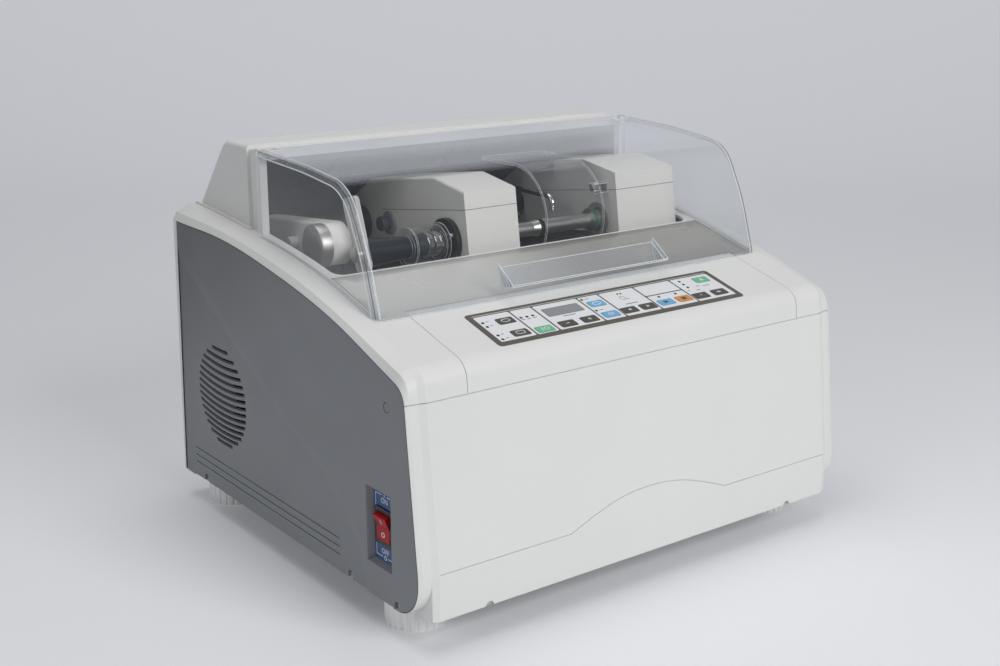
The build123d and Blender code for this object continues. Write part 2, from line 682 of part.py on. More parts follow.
# ---- rear housing, clear hood and their hinge -----------------------------------------------
HUMP_HALF = 240
HUMP_FRONT_Y = 111
FRAME_Y = 97
FRAME_FRONT_Y = 85.5
EAR_X = (226, 234)
EAR_RADIUS = 3.6
PIN_RADIUS = 2
COLLAR_HALF = 231
COLLAR_TOP = 398
with BuildPart() as rear_housing:
    with BuildSketch(Plane.YZ):
        with BuildLine():
            FilletPolyline(
                (HUMP_FRONT_Y, 300),
                (HUMP_FRONT_Y, HUMP_TOP),
                (163, HUMP_TOP),
                (229, 333),
                (229, 300),
                radius=[0, 22, 0],
            )
            Line((229, 300), (HUMP_FRONT_Y, 300))
        make_face()
    extrude(amount=HUMP_HALF, both=True)
    fillet(
        rear_housing.edges()
        .filter_by(lambda e: abs(abs(e.center().X) - HUMP_HALF) < 0.01)
        .filter_by(lambda e: e.center().Z > 335 and e.center().Y > HUMP_FRONT_Y + 1),
        5,
    )
    for y_ends, inset in (((FRAME_Y, HUMP_FRONT_Y), 4), ((FRAME_FRONT_Y, FRAME_Y), 1.5)):
        with BuildSketch(Plane.XZ.offset(-y_ends[1])):
            with Locations((0, 300)):
                Rectangle(
                    2 * (HUMP_HALF - inset),
                    HUMP_TOP - inset - 300,
                    align=(Align.CENTER, Align.MIN),
                )
        extrude(amount=y_ends[1] - y_ends[0])
    block((-COLLAR_HALF, COLLAR_HALF), (80, HUMP_FRONT_Y + WALL), (290, COLLAR_TOP), Mode.SUBTRACT)
    with BuildSketch(Plane.YZ):
        with BuildLine():
            FilletPolyline(
                (HUMP_FRONT_Y + WALL, 290),
                (HUMP_FRONT_Y + WALL, HUMP_TOP - WALL),
                (161.7, HUMP_TOP - WALL),
                (226, 331),
                (226, 290),
                radius=[0, 19, 0],
            )
            Line((226, 290), (HUMP_FRONT_Y + WALL, 290))
        make_face()
    extrude(amount=HUMP_HALF - WALL, both=True, mode=Mode.SUBTRACT)
    # the housing stands on the cover, with a low foot band round its base
    with BuildPart(mode=Mode.PRIVATE) as foot_band:
        extrude(side_outline(Plane.YZ, top=-2.5), amount=HUMP_HALF + 3, both=True)
        block((-300, 300), (-300, HUMP_FRONT_Y - 3), (0, 500), Mode.SUBTRACT)
        block((-300, 300), (231.5, 300), (0, 500), Mode.SUBTRACT)
        block((-300, 300), (-300, 300), (0, 300), Mode.SUBTRACT)
        block((-232, 232), (80, 224), (0, 500), Mode.SUBTRACT)
    add(foot_band.part)
    extrude(side_outline(Plane.YZ), amount=STEP_X, both=True, mode=Mode.SUBTRACT)
    block((-EAR_X[0], EAR_X[0]), (70, FRAME_FRONT_Y + 0.5), (COLLAR_TOP, 420), Mode.SUBTRACT)
    for side in (-1, 1):
        ends = sorted((side * EAR_X[0], side * EAR_X[1]))
        with BuildSketch(Plane.YZ.offset(ends[0])):
            with Locations((HINGE_Y, HINGE_Z)):
                Circle(EAR_RADIUS)
            with Locations(((HINGE_Y + FRAME_FRONT_Y + 2) / 2, HINGE_Z - 0.8)):
                Rectangle(FRAME_FRONT_Y + 2 - HINGE_Y, 5.6)
        extrude(amount=EAR_X[1] - EAR_X[0])
        round_bar((ends[0] - 1, ends[1] + 1), (HINGE_Y, HINGE_Z), PIN_RADIUS + 0.05, Mode.SUBTRACT)
rear_housing.part.label = "rear_housing"
export_step(rear_housing.part, "parts/rear_housing.step")

# side view of the hood: its top, shoulder and front, from the hinge side down to the toe
VISOR_LINE = [(92, 409.8), (-12, 404.6), (-87, 396.5), (-117.5, 336), (-135.4, 279)]
VISOR_LINE += [(-138.5, 265)]
VISOR_RADII = [400, 50, 200, 200]
VISOR_GAP = 0.6
LIP_HALF = 100


def drawn_in(points, inset):
    """The corners of an open line that runs parallel to another, inside it."""
    rows = []
    for (y0, z0), (y1, z1) in zip(points, points[1:]):
        length = ((y1 - y0) ** 2 + (z1 - z0) ** 2) ** 0.5
        across = ((z0 - z1) / length, (y1 - y0) / length)
        rows.append((across, across[0] * y0 + across[1] * z0 + inset))
    corners = []
    for (first, low), (second, high) in zip(rows, rows[1:]):
        turn = first[0] * second[1] - first[1] * second[0]
        corners.append(
            (
                (low * second[1] - high * first[1]) / turn,
                (first[0] * high - second[0] * low) / turn,
            )
        )
    (start_y, start_z), (end_y, end_z) = points[0], points[-1]
    first, last = rows[0][0], rows[-1][0]
    start = (start_y + inset * first[0], start_z + inset * first[1])
    end = (end_y + inset * last[0], end_z + inset * last[1])
    return [start, *corners, end]


def hood_form(half, inset, edge):
    """The hood as a solid block, drawn in by an amount, with its two long edges rounded."""
    line = drawn_in(VISOR_LINE, inset)
    with BuildPart(mode=Mode.PRIVATE) as form:
        with BuildSketch(Plane.YZ):
            with BuildLine():
                FilletPolyline(*line, radius=[radius - inset for radius in VISOR_RADII])
                Polyline(line[-1], (line[0][0], line[-1][1]), line[0])
            make_face()
        extrude(amount=half, both=True)
        fillet(
            form.edges()
            .filter_by(lambda e: abs(abs(e.center().X) - half) < 0.01)
            .filter_by(lambda e: e.center().Z > 268 and e.center().Y < line[0][0] - 1),
            edge,
        )
    return form.part


with BuildPart() as visor:
    add(hood_form(VISOR_HALF, 0, 6))
    add(hood_form(VISOR_HALF - VISOR_WALL, VISOR_WALL, 3), mode=Mode.SUBTRACT)
    block((-300, 300), (VISOR_REAR_Y, 120), (250, 430), Mode.SUBTRACT)
    extrude(side_outline(Plane.YZ, top=-VISOR_GAP), amount=STEP_X, both=True, mode=Mode.SUBTRACT)
    for side in (-1, 1):
        ear = sorted((side * (EAR_X[0] - 2), side * (EAR_X[1] + 2)))
        block(ear, (68, 90), (390, 420), Mode.SUBTRACT)
        lug = sorted((side * (EAR_X[0] - 7), side * (EAR_X[0] - 2)))
        with BuildSketch(Plane.YZ.offset(lug[0])):
            with Locations((HINGE_Y, HINGE_Z)):
                Circle(4)
            with Locations((HINGE_Y, HINGE_Z + 3)):
                Rectangle(8, 6)
        extrude(amount=5)
        round_bar((side * 240 - 25, side * 240 + 25), (HINGE_Y, HINGE_Z), PIN_RADIUS, Mode.SUBTRACT)
    with BuildSketch(Plane.YZ):
        with BuildLine():
            Polyline((-124.3, 309.5), (-148, 292.6), (-149.6, 294.6), (-124, 313), close=True)
        make_face()
    extrude(amount=LIP_HALF, both=True)
    for side in (-1, 1):
        with BuildSketch(Plane.YZ.offset(side * LIP_HALF)):
            with BuildLine():
                Polyline((-124.2, 311), (-148.8, 293.6), (-131.3, 289), close=True)
            make_face()
        extrude(amount=-side * 2.5)
visor.part.label = "visor"
export_step(visor.part, "parts/visor.step")

with BuildPart() as hinge_pins:
    for side in (-1, 1):
        ends = sorted((side * (EAR_X[0] - 7), side * (VISOR_HALF - 0.5)))
        round_bar(ends, (HINGE_Y, HINGE_Z), PIN_RADIUS)
hinge_pins.part.label = "hinge_pins"
export_step(hinge_pins.part, "parts/hinge_pins.step")

# ---- grinding chamber -----------------------------------------------------------------------
TUB_X = 233
TUB_FRONT_Y = -44
TUB_REAR_Y = 205
TRAY_Z = 255
WELL_X = (-20, 150)
WELL_Z = 155
WHEEL_Y = 15
WHEEL_Z = 215
SHAFT_RADIUS = 12
with BuildPart() as chamber_tub:
    block((-TUB_X - 3, TUB_X + 3), (TUB_FRONT_Y - 3, TUB_REAR_Y + 3), (TRAY_Z - 3, 340))
    block((WELL_X[0] - 3, WELL_X[1] + 3), (TUB_FRONT_Y - 3, TUB_REAR_Y + 3), (WELL_Z - 3, TRAY_Z))
    block((-TUB_X, TUB_X), (TUB_FRONT_Y, TUB_REAR_Y), (TRAY_Z, 350), Mode.SUBTRACT)
    block(WELL_X, (TUB_FRONT_Y, TUB_REAR_Y), (WELL_Z, TRAY_Z + 5), Mode.SUBTRACT)
    extrude(
        side_outline(Plane.YZ, top=WALL, front=WALL, bottom=-20, rear=WALL),
        amount=HALF_WIDTH,
        both=True,
        mode=Mode.INTERSECT,
    )
    with BuildSketch(Plane.YZ):
        with BuildLine():
            Polyline(
                (TUB_REAR_Y, 300),
                (TUB_REAR_Y, 345),
                (164.5, 390),
                (167, 392),
                (TUB_REAR_Y + 3, 347),
                (TUB_REAR_Y + 3, 300),
                close=True,
            )
        make_face()
    extrude(amount=OPEN_HALF - 3, both=True)
    for side in (-1, 1):
        round_bar((side * TUB_X - 5, side * TUB_X + 5), (PIVOT_Y, PIVOT_Z), 13, Mode.SUBTRACT)
    round_bar((WELL_X[1] - 1, WELL_X[1] + 5), (WHEEL_Y, WHEEL_Z), 12, Mode.SUBTRACT)
chamber_tub.part.label = "chamber_tub"
export_step(chamber_tub.part, "parts/chamber_tub.step")

with BuildPart() as shaft_brackets:
    for side in (-1, 1):
        ends = sorted((side * (TUB_X - 14), side * TUB_X))
        round_bar(ends, (PIVOT_Y, PIVOT_Z), 20)
        block(ends, (PIVOT_Y - 20, PIVOT_Y + 20), (TRAY_Z + 5, PIVOT_Z))
        round_bar((ends[0] - 1, ends[1] + 1), (PIVOT_Y, PIVOT_Z), SHAFT_RADIUS + 0.05, Mode.SUBTRACT)
shaft_brackets.part.label = "shaft_brackets"
export_step(shaft_brackets.part, "parts/shaft_brackets.step")

with BuildPart() as pivot_shaft:
    round_bar((-222, 244), (PIVOT_Y, PIVOT_Z), SHAFT_RADIUS)
pivot_shaft.part.label = "pivot_shaft"
export_step(pivot_shaft.part, "parts/pivot_shaft.step")

with BuildPart() as water_nozzle:
    with BuildLine() as nozzle_line:
        FilletPolyline((100, TUB_REAR_Y, 332), (100, 40, 332), (100, 40, 316), radius=10)
    with BuildSketch(Plane(origin=(100, TUB_REAR_Y, 332), z_dir=(0, -1, 0))):
        Circle(3)
    sweep(path=nozzle_line.wire())
    with Locations(Location((100, TUB_REAR_Y, 332), (90, 0, 0))):
        Cylinder(7, 4, align=(Align.CENTER, Align.CENTER, Align.MIN))
water_nozzle.part.label = "water_nozzle"
export_step(water_nozzle.part, "parts/water_nozzle.step")

# ---- carriage head --------------------------------------------------------------------------
TILT = radians(HEAD_PITCH)


def head_plane(x):
    """Side view of the head at one X: first axis back along the head, second one up from it."""
    return Plane(
        origin=(x, HEAD_Y, HEAD_Z), x_dir=(0, cos(TILT), -sin(TILT)), z_dir=(1, 0, 0)
    )


def in_head(y, z):
    """A point of the side view in the head's own two axes."""
    back, up = y - HEAD_Y, z - HEAD_Z
    return (back * cos(TILT) - up * sin(TILT), back * sin(TILT) + up * cos(TILT))


PIVOT_V, PIVOT_W = in_head(PIVOT_Y, PIVOT_Z)
SEAM_W = 48
LID_FRONT_W = 66.5
LID_TOP_W = 82.3
LID_CREST_V = 52
LEFT_HEAD_X = (-66, 0)
RIGHT_HEAD_X = (138, 224)
RIGHT_ARM_X = (150, 205)
RIGHT_STEP_V = 168
HEAD_WALL = 4
REAR_RADIUS = 26
TUBE_RADIUS = 20
CHUCK = (CHUCK_Y, CHUCK_Z)
CHUCK_RADIUS = 8
QUILL_RADIUS = 11
FIT = 0.05


def lower_profile(plane):
    """Side view of a head casting below its lid."""
    with BuildSketch(plane) as profile:
        with BuildLine():
            Polyline((PIVOT_V, PIVOT_W - REAR_RADIUS), (2, 0), (0, 2), (0, SEAM_W))
            rear_v = PIVOT_V + (REAR_RADIUS**2 - (SEAM_W - PIVOT_W) ** 2) ** 0.5
            Line((0, SEAM_W), (rear_v, SEAM_W))
            ThreePointArc(
                (rear_v, SEAM_W),
                (PIVOT_V + REAR_RADIUS * cos(-0.5), PIVOT_W + REAR_RADIUS * sin(-0.5)),
                (PIVOT_V, PIVOT_W - REAR_RADIUS),
            )
        make_face()
    return profile.sketch


def lid_profile(plane, inset=0):
    """Side view of a head's lid, its top, front and rear drawn in by an amount."""
    with BuildSketch(plane) as profile:
        with BuildLine():
            Polyline(
                (inset, SEAM_W),
                (inset, LID_FRONT_W - inset),
                (LID_CREST_V, LID_TOP_W - inset),
                (178, LID_TOP_W - inset),
                (222 - inset, 60 - inset),
                (224 - inset, SEAM_W),
                close=True,
            )
        make_face()
    return profile.sketch


with BuildPart() as left_head_housing:
    extrude(lower_profile(head_plane(LEFT_HEAD_X[0])), amount=LEFT_HEAD_X[1] - LEFT_HEAD_X[0])
    with BuildSketch(head_plane(LEFT_HEAD_X[0] + HEAD_WALL)):
        with BuildLine():
            Polyline((58, SEAM_W), (58, 9), (170, 13), (170, SEAM_W), close=True)
        make_face()
    extrude(
        amount=LEFT_HEAD_X[1] - LEFT_HEAD_X[0] - 2 * HEAD_WALL, mode=Mode.SUBTRACT
    )
    round_bar((LEFT_HEAD_X[0] - 1, 1), CHUCK, CHUCK_RADIUS + FIT, Mode.SUBTRACT)
    round_bar((LEFT_HEAD_X[0] - 1, 1), (PIVOT_Y, PIVOT_Z), TUBE_RADIUS, Mode.SUBTRACT)
left_head_housing.part.label = "left_head_housing"
export_step(left_head_housing.part, "parts/left_head_housing.step")

with BuildPart() as left_head_lid:
    extrude(lid_profile(head_plane(LEFT_HEAD_X[0])), amount=LEFT_HEAD_X[1] - LEFT_HEAD_X[0])
    top_edges = left_head_lid.edges().filter_by(lambda e: e.center().Z > HEAD_Z + 50)
    fillet(top_edges.filter_by(lambda e: in_head(e.center().Y, e.center().Z)[1] > 68), 3)
    extrude(
        lid_profile(head_plane(LEFT_HEAD_X[0] + HEAD_WALL), HEAD_WALL),
        amount=LEFT_HEAD_X[1] - LEFT_HEAD_X[0] - 2 * HEAD_WALL,
        mode=Mode.SUBTRACT,
    )
    round_bar((-100, 20), (PIVOT_Y, PIVOT_Z), TUBE_RADIUS, Mode.SUBTRACT)
left_head_lid.part.label = "left_head_lid"
export_step(left_head_lid.part, "parts/left_head_lid.step")


def right_head_plan(low_w, high_w):
    """The right head's plan: a wide front part and a narrower arm back to the pivot."""
    base = Plane(
        origin=(0, HEAD_Y, HEAD_Z),
        x_dir=(1, 0, 0),
        z_dir=(0, sin(TILT), cos(TILT)),
    )
    with BuildSketch(base.offset(low_w)) as plan:
        with BuildLine():
            Polyline(
                (RIGHT_HEAD_X[0], -5),
                (RIGHT_HEAD_X[1], -5),
                (RIGHT_HEAD_X[1], RIGHT_STEP_V),
                (RIGHT_ARM_X[1], RIGHT_STEP_V),
                (RIGHT_ARM_X[1], 260),
                (RIGHT_ARM_X[0], 260),
                (RIGHT_ARM_X[0], RIGHT_STEP_V),
                (RIGHT_HEAD_X[0], RIGHT_STEP_V),
                close=True,
            )
        make_face()
    return plan.sketch


RIGHT_WIDTH = RIGHT_HEAD_X[1] - RIGHT_HEAD_X[0]
with BuildPart() as right_head_housing:
    extrude(lower_profile(head_plane(RIGHT_HEAD_X[0])), amount=RIGHT_WIDTH)
    extrude(right_head_plan(-10, 60), amount=80, mode=Mode.INTERSECT)
    with BuildSketch(head_plane(RIGHT_HEAD_X[0] + HEAD_WALL)):
        with BuildLine():
            Polyline((58, SEAM_W), (58, 9), (160, 13), (160, SEAM_W), close=True)
        make_face()
    extrude(amount=RIGHT_WIDTH - 2 * HEAD_WALL, mode=Mode.SUBTRACT)
    round_bar((RIGHT_HEAD_X[0] - 1, 216), CHUCK, QUILL_RADIUS + FIT, Mode.SUBTRACT)
    # room for the quill's collar when the chuck opens
    round_bar((RIGHT_HEAD_X[0] - 1, 152), CHUCK, QUILL_RADIUS + 2.5, Mode.SUBTRACT)
    round_bar((100, 230), (PIVOT_Y, PIVOT_Z), TUBE_RADIUS, Mode.SUBTRACT)
right_head_housing.part.label = "right_head_housing"
export_step(right_head_housing.part, "parts/right_head_housing.step")

with BuildPart() as right_head_lid:
    extrude(lid_profile(head_plane(RIGHT_HEAD_X[0])), amount=RIGHT_WIDTH)
    extrude(right_head_plan(40, 100), amount=60, mode=Mode.INTERSECT)
    with BuildSketch(head_plane(RIGHT_HEAD_X[0] + HEAD_WALL)):
        with BuildLine():
            Polyline(
                (HEAD_WALL, SEAM_W),
                (HEAD_WALL, LID_FRONT_W - HEAD_WALL),
                (LID_CREST_V, LID_TOP_W - HEAD_WALL),
                (RIGHT_STEP_V - HEAD_WALL, LID_TOP_W - HEAD_WALL),
                (RIGHT_STEP_V - HEAD_WALL, SEAM_W),
                close=True,
            )
        make_face()
    extrude(amount=RIGHT_WIDTH - 2 * HEAD_WALL, mode=Mode.SUBTRACT)
    round_bar((100, 230), (PIVOT_Y, PIVOT_Z), TUBE_RADIUS, Mode.SUBTRACT)
right_head_lid.part.label = "right_head_lid"
export_step(right_head_lid.part, "parts/right_head_lid.step")

with BuildPart() as pivot_tube:
    round_bar((-190, 205), (PIVOT_Y, PIVOT_Z), TUBE_RADIUS)
    round_bar((-191, 206), (PIVOT_Y, PIVOT_Z), SHAFT_RADIUS + FIT, Mode.SUBTRACT)
pivot_tube.part.label = "pivot_tube"
export_step(pivot_tube.part, "parts/pivot_tube.step")

with BuildPart() as bearing_flange:
    round_bar((-72, LEFT_HEAD_X[0]), CHUCK, 24.5)
    round_bar((-92, -72), CHUCK, 12)
    with Locations(Location((-72, *CHUCK), (0, 90, 0))):
        with PolarLocations(18.5, 3):
            Cylinder(3.5, 4, align=(Align.CENTER, Align.CENTER, Align.MAX))
            Cylinder(1.7, 3.5, align=(Align.CENTER, Align.CENTER, Align.MAX), mode=Mode.SUBTRACT)
    round_bar((-100, -60), CHUCK, CHUCK_RADIUS + FIT, Mode.SUBTRACT)
bearing_flange.part.label = "bearing_flange"
export_step(bearing_flange.part, "parts/bearing_flange.step")

with BuildPart() as sight_tube:
    round_bar((-118, -77), CHUCK, 21)
    round_bar((-115, -80), CHUCK, 19, Mode.SUBTRACT)
    round_bar((-92, -70), CHUCK, 12, Mode.SUBTRACT)
    round_bar((-120, -114), CHUCK, 11.5, Mode.SUBTRACT)
sight_tube.part.label = "sight_tube"
export_step(sight_tube.part, "parts/sight_tube.step")

with BuildPart() as shaft_sleeve:
    round_bar((-118, -98), CHUCK, 11.5)
    round_bar((-168, -118), CHUCK, 15, end_radius=11.5)
    round_bar((-170, -90), CHUCK, CHUCK_RADIUS + 0.4, Mode.SUBTRACT)
shaft_sleeve.part.label = "shaft_sleeve"
export_step(shaft_sleeve.part, "parts/shaft_sleeve.step")

GAUGE_LOW = (2, 291)
GAUGE_LEAN = 20
GAUGE_SIZE = (25, 75)
ARM_X = (-193, -172)
ARM_END = (45, 313)
with BuildPart() as gauge_plate:
    gauge = Plane(
        origin=(ARM_X[1], *GAUGE_LOW),
        x_dir=(0, cos(radians(GAUGE_LEAN)), -sin(radians(GAUGE_LEAN))),
        z_dir=(1, 0, 0),
    )
    with BuildSketch(gauge):
        with Locations((0, GAUGE_SIZE[1] / 2)):
            RectangleRounded(*GAUGE_SIZE, 6)
        with BuildLine():
            Polyline((-8, 4), (8, 4), (3, -9), (-3, -9), close=True)
        make_face()
        with Locations((0, 50)):
            SlotCenterToCenter(28, 7, rotation=90, mode=Mode.SUBTRACT)
    extrude(amount=4)
    block((ARM_X[1], ARM_X[1] + 4), (12, 50), (306, 320))
    round_bar((-180, -160), CHUCK, CHUCK_RADIUS + 0.4, Mode.SUBTRACT)
gauge_plate.part.label = "gauge_plate"
export_step(gauge_plate.part, "parts/gauge_plate.step")

with BuildPart() as outboard_arm:
    arm_angle = degrees(atan((ARM_END[1] - PIVOT_Z) / (ARM_END[0] - PIVOT_Y)))
    arm_length = ((ARM_END[0] - PIVOT_Y) ** 2 + (ARM_END[1] - PIVOT_Z) ** 2) ** 0.5
    with BuildSketch(Plane.YZ.offset(ARM_X[0])):
        with Locations(((ARM_END[0] + PIVOT_Y) / 2, (ARM_END[1] + PIVOT_Z) / 2)):
            SlotCenterToCenter(arm_length, 44, rotation=arm_angle)
    extrude(amount=ARM_X[1] - ARM_X[0])
    fillet(outboard_arm.faces().sort_by(Axis.X)[0].edges(), 3)
    round_bar((ARM_X[0] - 13, ARM_X[0] + 5), ARM_END, 22)
    fillet(outboard_arm.faces().sort_by(Axis.X)[0].edges(), 4)
    round_bar((ARM_X[0] - 10, ARM_X[0]), (100, 307), 6)
    round_bar((-200, -160), (PIVOT_Y, PIVOT_Z), TUBE_RADIUS, Mode.SUBTRACT)
outboard_arm.part.label = "outboard_arm"
export_step(outboard_arm.part, "parts/outboard_arm.step")

GUARD_X = (46, 126)
GUARD_CENTRE = (40, 315)
GUARD_RADIUS = 59
GUARD_SHEET = 2.5


def guard_outline(radius):
    """Side view of the splash guard's curve at one radius, from its front lip to its rear end."""
    lip = (GUARD_CENTRE[0] - radius * cos(radians(33)), GUARD_CENTRE[1] - radius * sin(radians(33)))
    crown = (GUARD_CENTRE[0], GUARD_CENTRE[1] + radius)
    middle = (GUARD_CENTRE[0] - radius * cos(radians(30)), GUARD_CENTRE[1] + radius * sin(radians(30)))
    return lip, middle, crown


with BuildPart() as splash_guard:
    outer = guard_outline(GUARD_RADIUS)
    inner = guard_outline(GUARD_RADIUS - GUARD_SHEET)
    with BuildSketch(Plane.YZ.offset(GUARD_X[0])):
        with BuildLine():
            ThreePointArc(*outer)
            Polyline(outer[2], (100, outer[2][1]), (100, inner[2][1]), inner[2])
            ThreePointArc(*reversed(inner))
            Line(inner[0], outer[0])
        make_face()
    extrude(amount=GUARD_X[1] - GUARD_X[0])
    block((GUARD_X[1] - 6, RIGHT_HEAD_X[0]), (84, 99), (354, inner[2][1] + 1))
    block((GUARD_X[1] - 6, RIGHT_HEAD_X[0]), (-9, 1), (340, 350))
splash_guard.part.label = "splash_guard"
export_step(splash_guard.part, "parts/splash_guard.step")

# ---- lens chuck -----------------------------------------------------------------------------
PAD_X = 50
with BuildPart() as left_chuck_shaft:
    round_bar((-180, PAD_X), CHUCK, CHUCK_RADIUS)
    round_bar((PAD_X - 8, PAD_X), CHUCK, 8, end_radius=9.5)
    round_bar((PAD_X, PAD_X + 3), CHUCK, 9.5)
left_chuck_shaft.part.label = "left_chuck_shaft"
export_step(left_chuck_shaft.part, "parts/left_chuck_shaft.step")

with BuildPart() as clamp_quill:
    round_bar((128, 190), CHUCK, QUILL_RADIUS)
    round_bar((124, 130), CHUCK, QUILL_RADIUS + 1.5)
    round_bar((120, 152), CHUCK, CHUCK_RADIUS + FIT, Mode.SUBTRACT)
clamp_quill.part.label = "clamp_quill"
export_step(clamp_quill.part, "parts/clamp_quill.step")

with BuildPart() as right_chuck_shaft:
    round_bar((59, 151), CHUCK, CHUCK_RADIUS)
    round_bar((56, 62), CHUCK, 9.5)
right_chuck_shaft.part.label = "right_chuck_shaft"
export_step(right_chuck_shaft.part, "parts/right_chuck_shaft.step")

# ---- grinding spindle and its drive ---------------------------------------------------------
WHEEL = (WHEEL_Y, WHEEL_Z)
WHEEL_RADIUS = 50
MOTOR = (60, 95)
MOTOR_RADIUS = 48
PULLEY_RADIUS = 24
PULLEY_X = (210, 230)
BELT_X = (212, 228)
BELT_THICK = 3
SPINDLE_RADIUS = 10
with BuildPart() as grinding_wheels:
    for ends in ((26, 44), (46, 64), (66, 84)):
        round_bar(ends, WHEEL, WHEEL_RADIUS)
    round_bar((44, 66), WHEEL, WHEEL_RADIUS - 5)
    round_bar((73, 75), WHEEL, WHEEL_RADIUS + 1, Mode.SUBTRACT)
    round_bar((73, 74), WHEEL, WHEEL_RADIUS, end_radius=WHEEL_RADIUS - 3)
    round_bar((74, 75), WHEEL, WHEEL_RADIUS - 3, end_radius=WHEEL_RADIUS)
    round_bar((20, 90), WHEEL, SPINDLE_RADIUS, Mode.SUBTRACT)
grinding_wheels.part.label = "grinding_wheels"
export_step(grinding_wheels.part, "parts/grinding_wheels.step")

with BuildPart() as wheel_spindle:
    round_bar((12, PULLEY_X[0]), WHEEL, SPINDLE_RADIUS)
    round_bar((16, 26), WHEEL, 17)
    round_bar((84, 94), WHEEL, 17)
    round_bar(PULLEY_X, WHEEL, PULLEY_RADIUS)
wheel_spindle.part.label = "wheel_spindle"
export_step(wheel_spindle.part, "parts/wheel_spindle.step")

with BuildPart() as spindle_housing:
    round_bar((WELL_X[1] + 3, 161), WHEEL, 35)
    round_bar((161, 205), WHEEL, 28)
    round_bar((150, 210), WHEEL, SPINDLE_RADIUS + FIT, Mode.SUBTRACT)
spindle_housing.part.label = "spindle_housing"
export_step(spindle_housing.part, "parts/spindle_housing.step")

run_y, run_z = MOTOR[0] - WHEEL[0], MOTOR[1] - WHEEL[1]
run = (run_y**2 + run_z**2) ** 0.5
BELT_PLANE = Plane(
    origin=(BELT_X[0], (WHEEL[0] + MOTOR[0]) / 2, (WHEEL[1] + MOTOR[1]) / 2),
    x_dir=(0, run_y / run, run_z / run),
    z_dir=(1, 0, 0),
)
BELT_RADIUS = PULLEY_RADIUS + CLEARANCE
with BuildPart() as drive_belt:
    with BuildSketch(BELT_PLANE):
        SlotCenterToCenter(run, 2 * (BELT_RADIUS + BELT_THICK))
        SlotCenterToCenter(run, 2 * BELT_RADIUS, mode=Mode.SUBTRACT)
    extrude(amount=BELT_X[1] - BELT_X[0])
drive_belt.part.label = "drive_belt"
export_step(drive_belt.part, "parts/drive_belt.step")

MOTOR_X = (30, 200)
with BuildPart() as drive_motor:
    round_bar(MOTOR_X, MOTOR, MOTOR_RADIUS - 3)
    round_bar((MOTOR_X[0] + 14, MOTOR_X[1] - 14), MOTOR, MOTOR_RADIUS)
    for x in (60, 150):
        block((x, x + 24), (MOTOR[0] - 44, MOTOR[0] + 44), (FOOT_HEIGHT + SHEET, 37))
        block((x, x + 24), (MOTOR[0] - 30, MOTOR[0] + 30), (37, 70))
    # a shoe on the end bell bears on the belt's outer face
    shoe_plane = Plane(
        origin=(190, BELT_PLANE.origin.Y, BELT_PLANE.origin.Z),
        x_dir=BELT_PLANE.x_dir,
        z_dir=(1, 0, 0),
    )
    with BuildSketch(shoe_plane):
        with Locations((12, BELT_RADIUS + BELT_THICK + 3)):
            Rectangle(60, 6)
    extrude(amount=BELT_X[1] - 190)
    round_bar((188, 205), MOTOR, 6 + FIT, Mode.SUBTRACT)
drive_motor.part.label = "drive_motor"
export_step(drive_motor.part, "parts/drive_motor.step")

with BuildPart() as motor_pulley:
    round_bar(PULLEY_X, MOTOR, PULLEY_RADIUS)
    round_bar((189, PULLEY_X[0]), MOTOR, 6)
motor_pulley.part.label = "motor_pulley"
export_step(motor_pulley.part, "parts/motor_pulley.step")

# ---- cooling fan ----------------------------------------------------------------------------
FAN_SIZE = 120
FAN_DEPTH = 25
FAN_BORE = 56
HUB_RADIUS = 20
with BuildPart() as fan_frame:
    fan_back = -PANEL_BACK_X + FAN_DEPTH
    with BuildSketch(Plane.YZ.offset(-PANEL_BACK_X)):
        with Locations(VENT):
            RectangleRounded(FAN_SIZE, FAN_SIZE, 8)
            Circle(FAN_BORE, mode=Mode.SUBTRACT)
            with GridLocations(105, 105, 2, 2):
                Circle(2.2, mode=Mode.SUBTRACT)
    extrude(amount=FAN_DEPTH)
    with BuildSketch(Plane.YZ.offset(fan_back - 3)):
        with Locations(VENT):
            Circle(HUB_RADIUS)
            with PolarLocations(HUB_RADIUS + 18, 4, 45):
                Rectangle(40, 6)
    extrude(amount=3)
    round_bar((fan_back - 20, fan_back - 2), VENT, 3)
fan_frame.part.label = "fan_frame"
export_step(fan_frame.part, "parts/fan_frame.step")

ROTOR_X = (-PANEL_BACK_X + 4, -PANEL_BACK_X + 21)
with BuildPart() as fan_rotor:
    with Locations(Location((ROTOR_X[0], *VENT), (0, 90, 0))):
        Cylinder(HUB_RADIUS, 17, align=(Align.CENTER, Align.CENTER, Align.MIN))
        with Locations((0, 0, 8.5)):
            with PolarLocations(35, 7):
                Box(36, 22, 1.8, rotation=(38, 0, 0))
    with BuildSketch(Plane.YZ.offset(ROTOR_X[0])):
        with Locations(VENT):
            Circle(54)
    extrude(amount=17, mode=Mode.INTERSECT)
    round_bar((ROTOR_X[0] + 1, ROTOR_X[1] + 1), VENT, 3 + FIT, Mode.SUBTRACT)
fan_rotor.part.label = "fan_rotor"
export_step(fan_rotor.part, "parts/fan_rotor.step")

# ---- fastenings -----------------------------------------------------------------------------
with BuildPart() as panel_screws:
    for side in (-1, 1):
        ends = sorted((side * (HALF_WIDTH - 1.5), side * (HALF_WIDTH - 0.7)))
        round_bar(ends, PLUG, 5)
    for x, z in BACK_SCREWS:
        back_screw(x, z, SCREW_DEEP)
panel_screws.part.label = "panel_screws"
export_step(panel_screws.part, "parts/panel_screws.step")
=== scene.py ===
import math

import bmesh
import bpy
from mathutils import Matrix, Vector


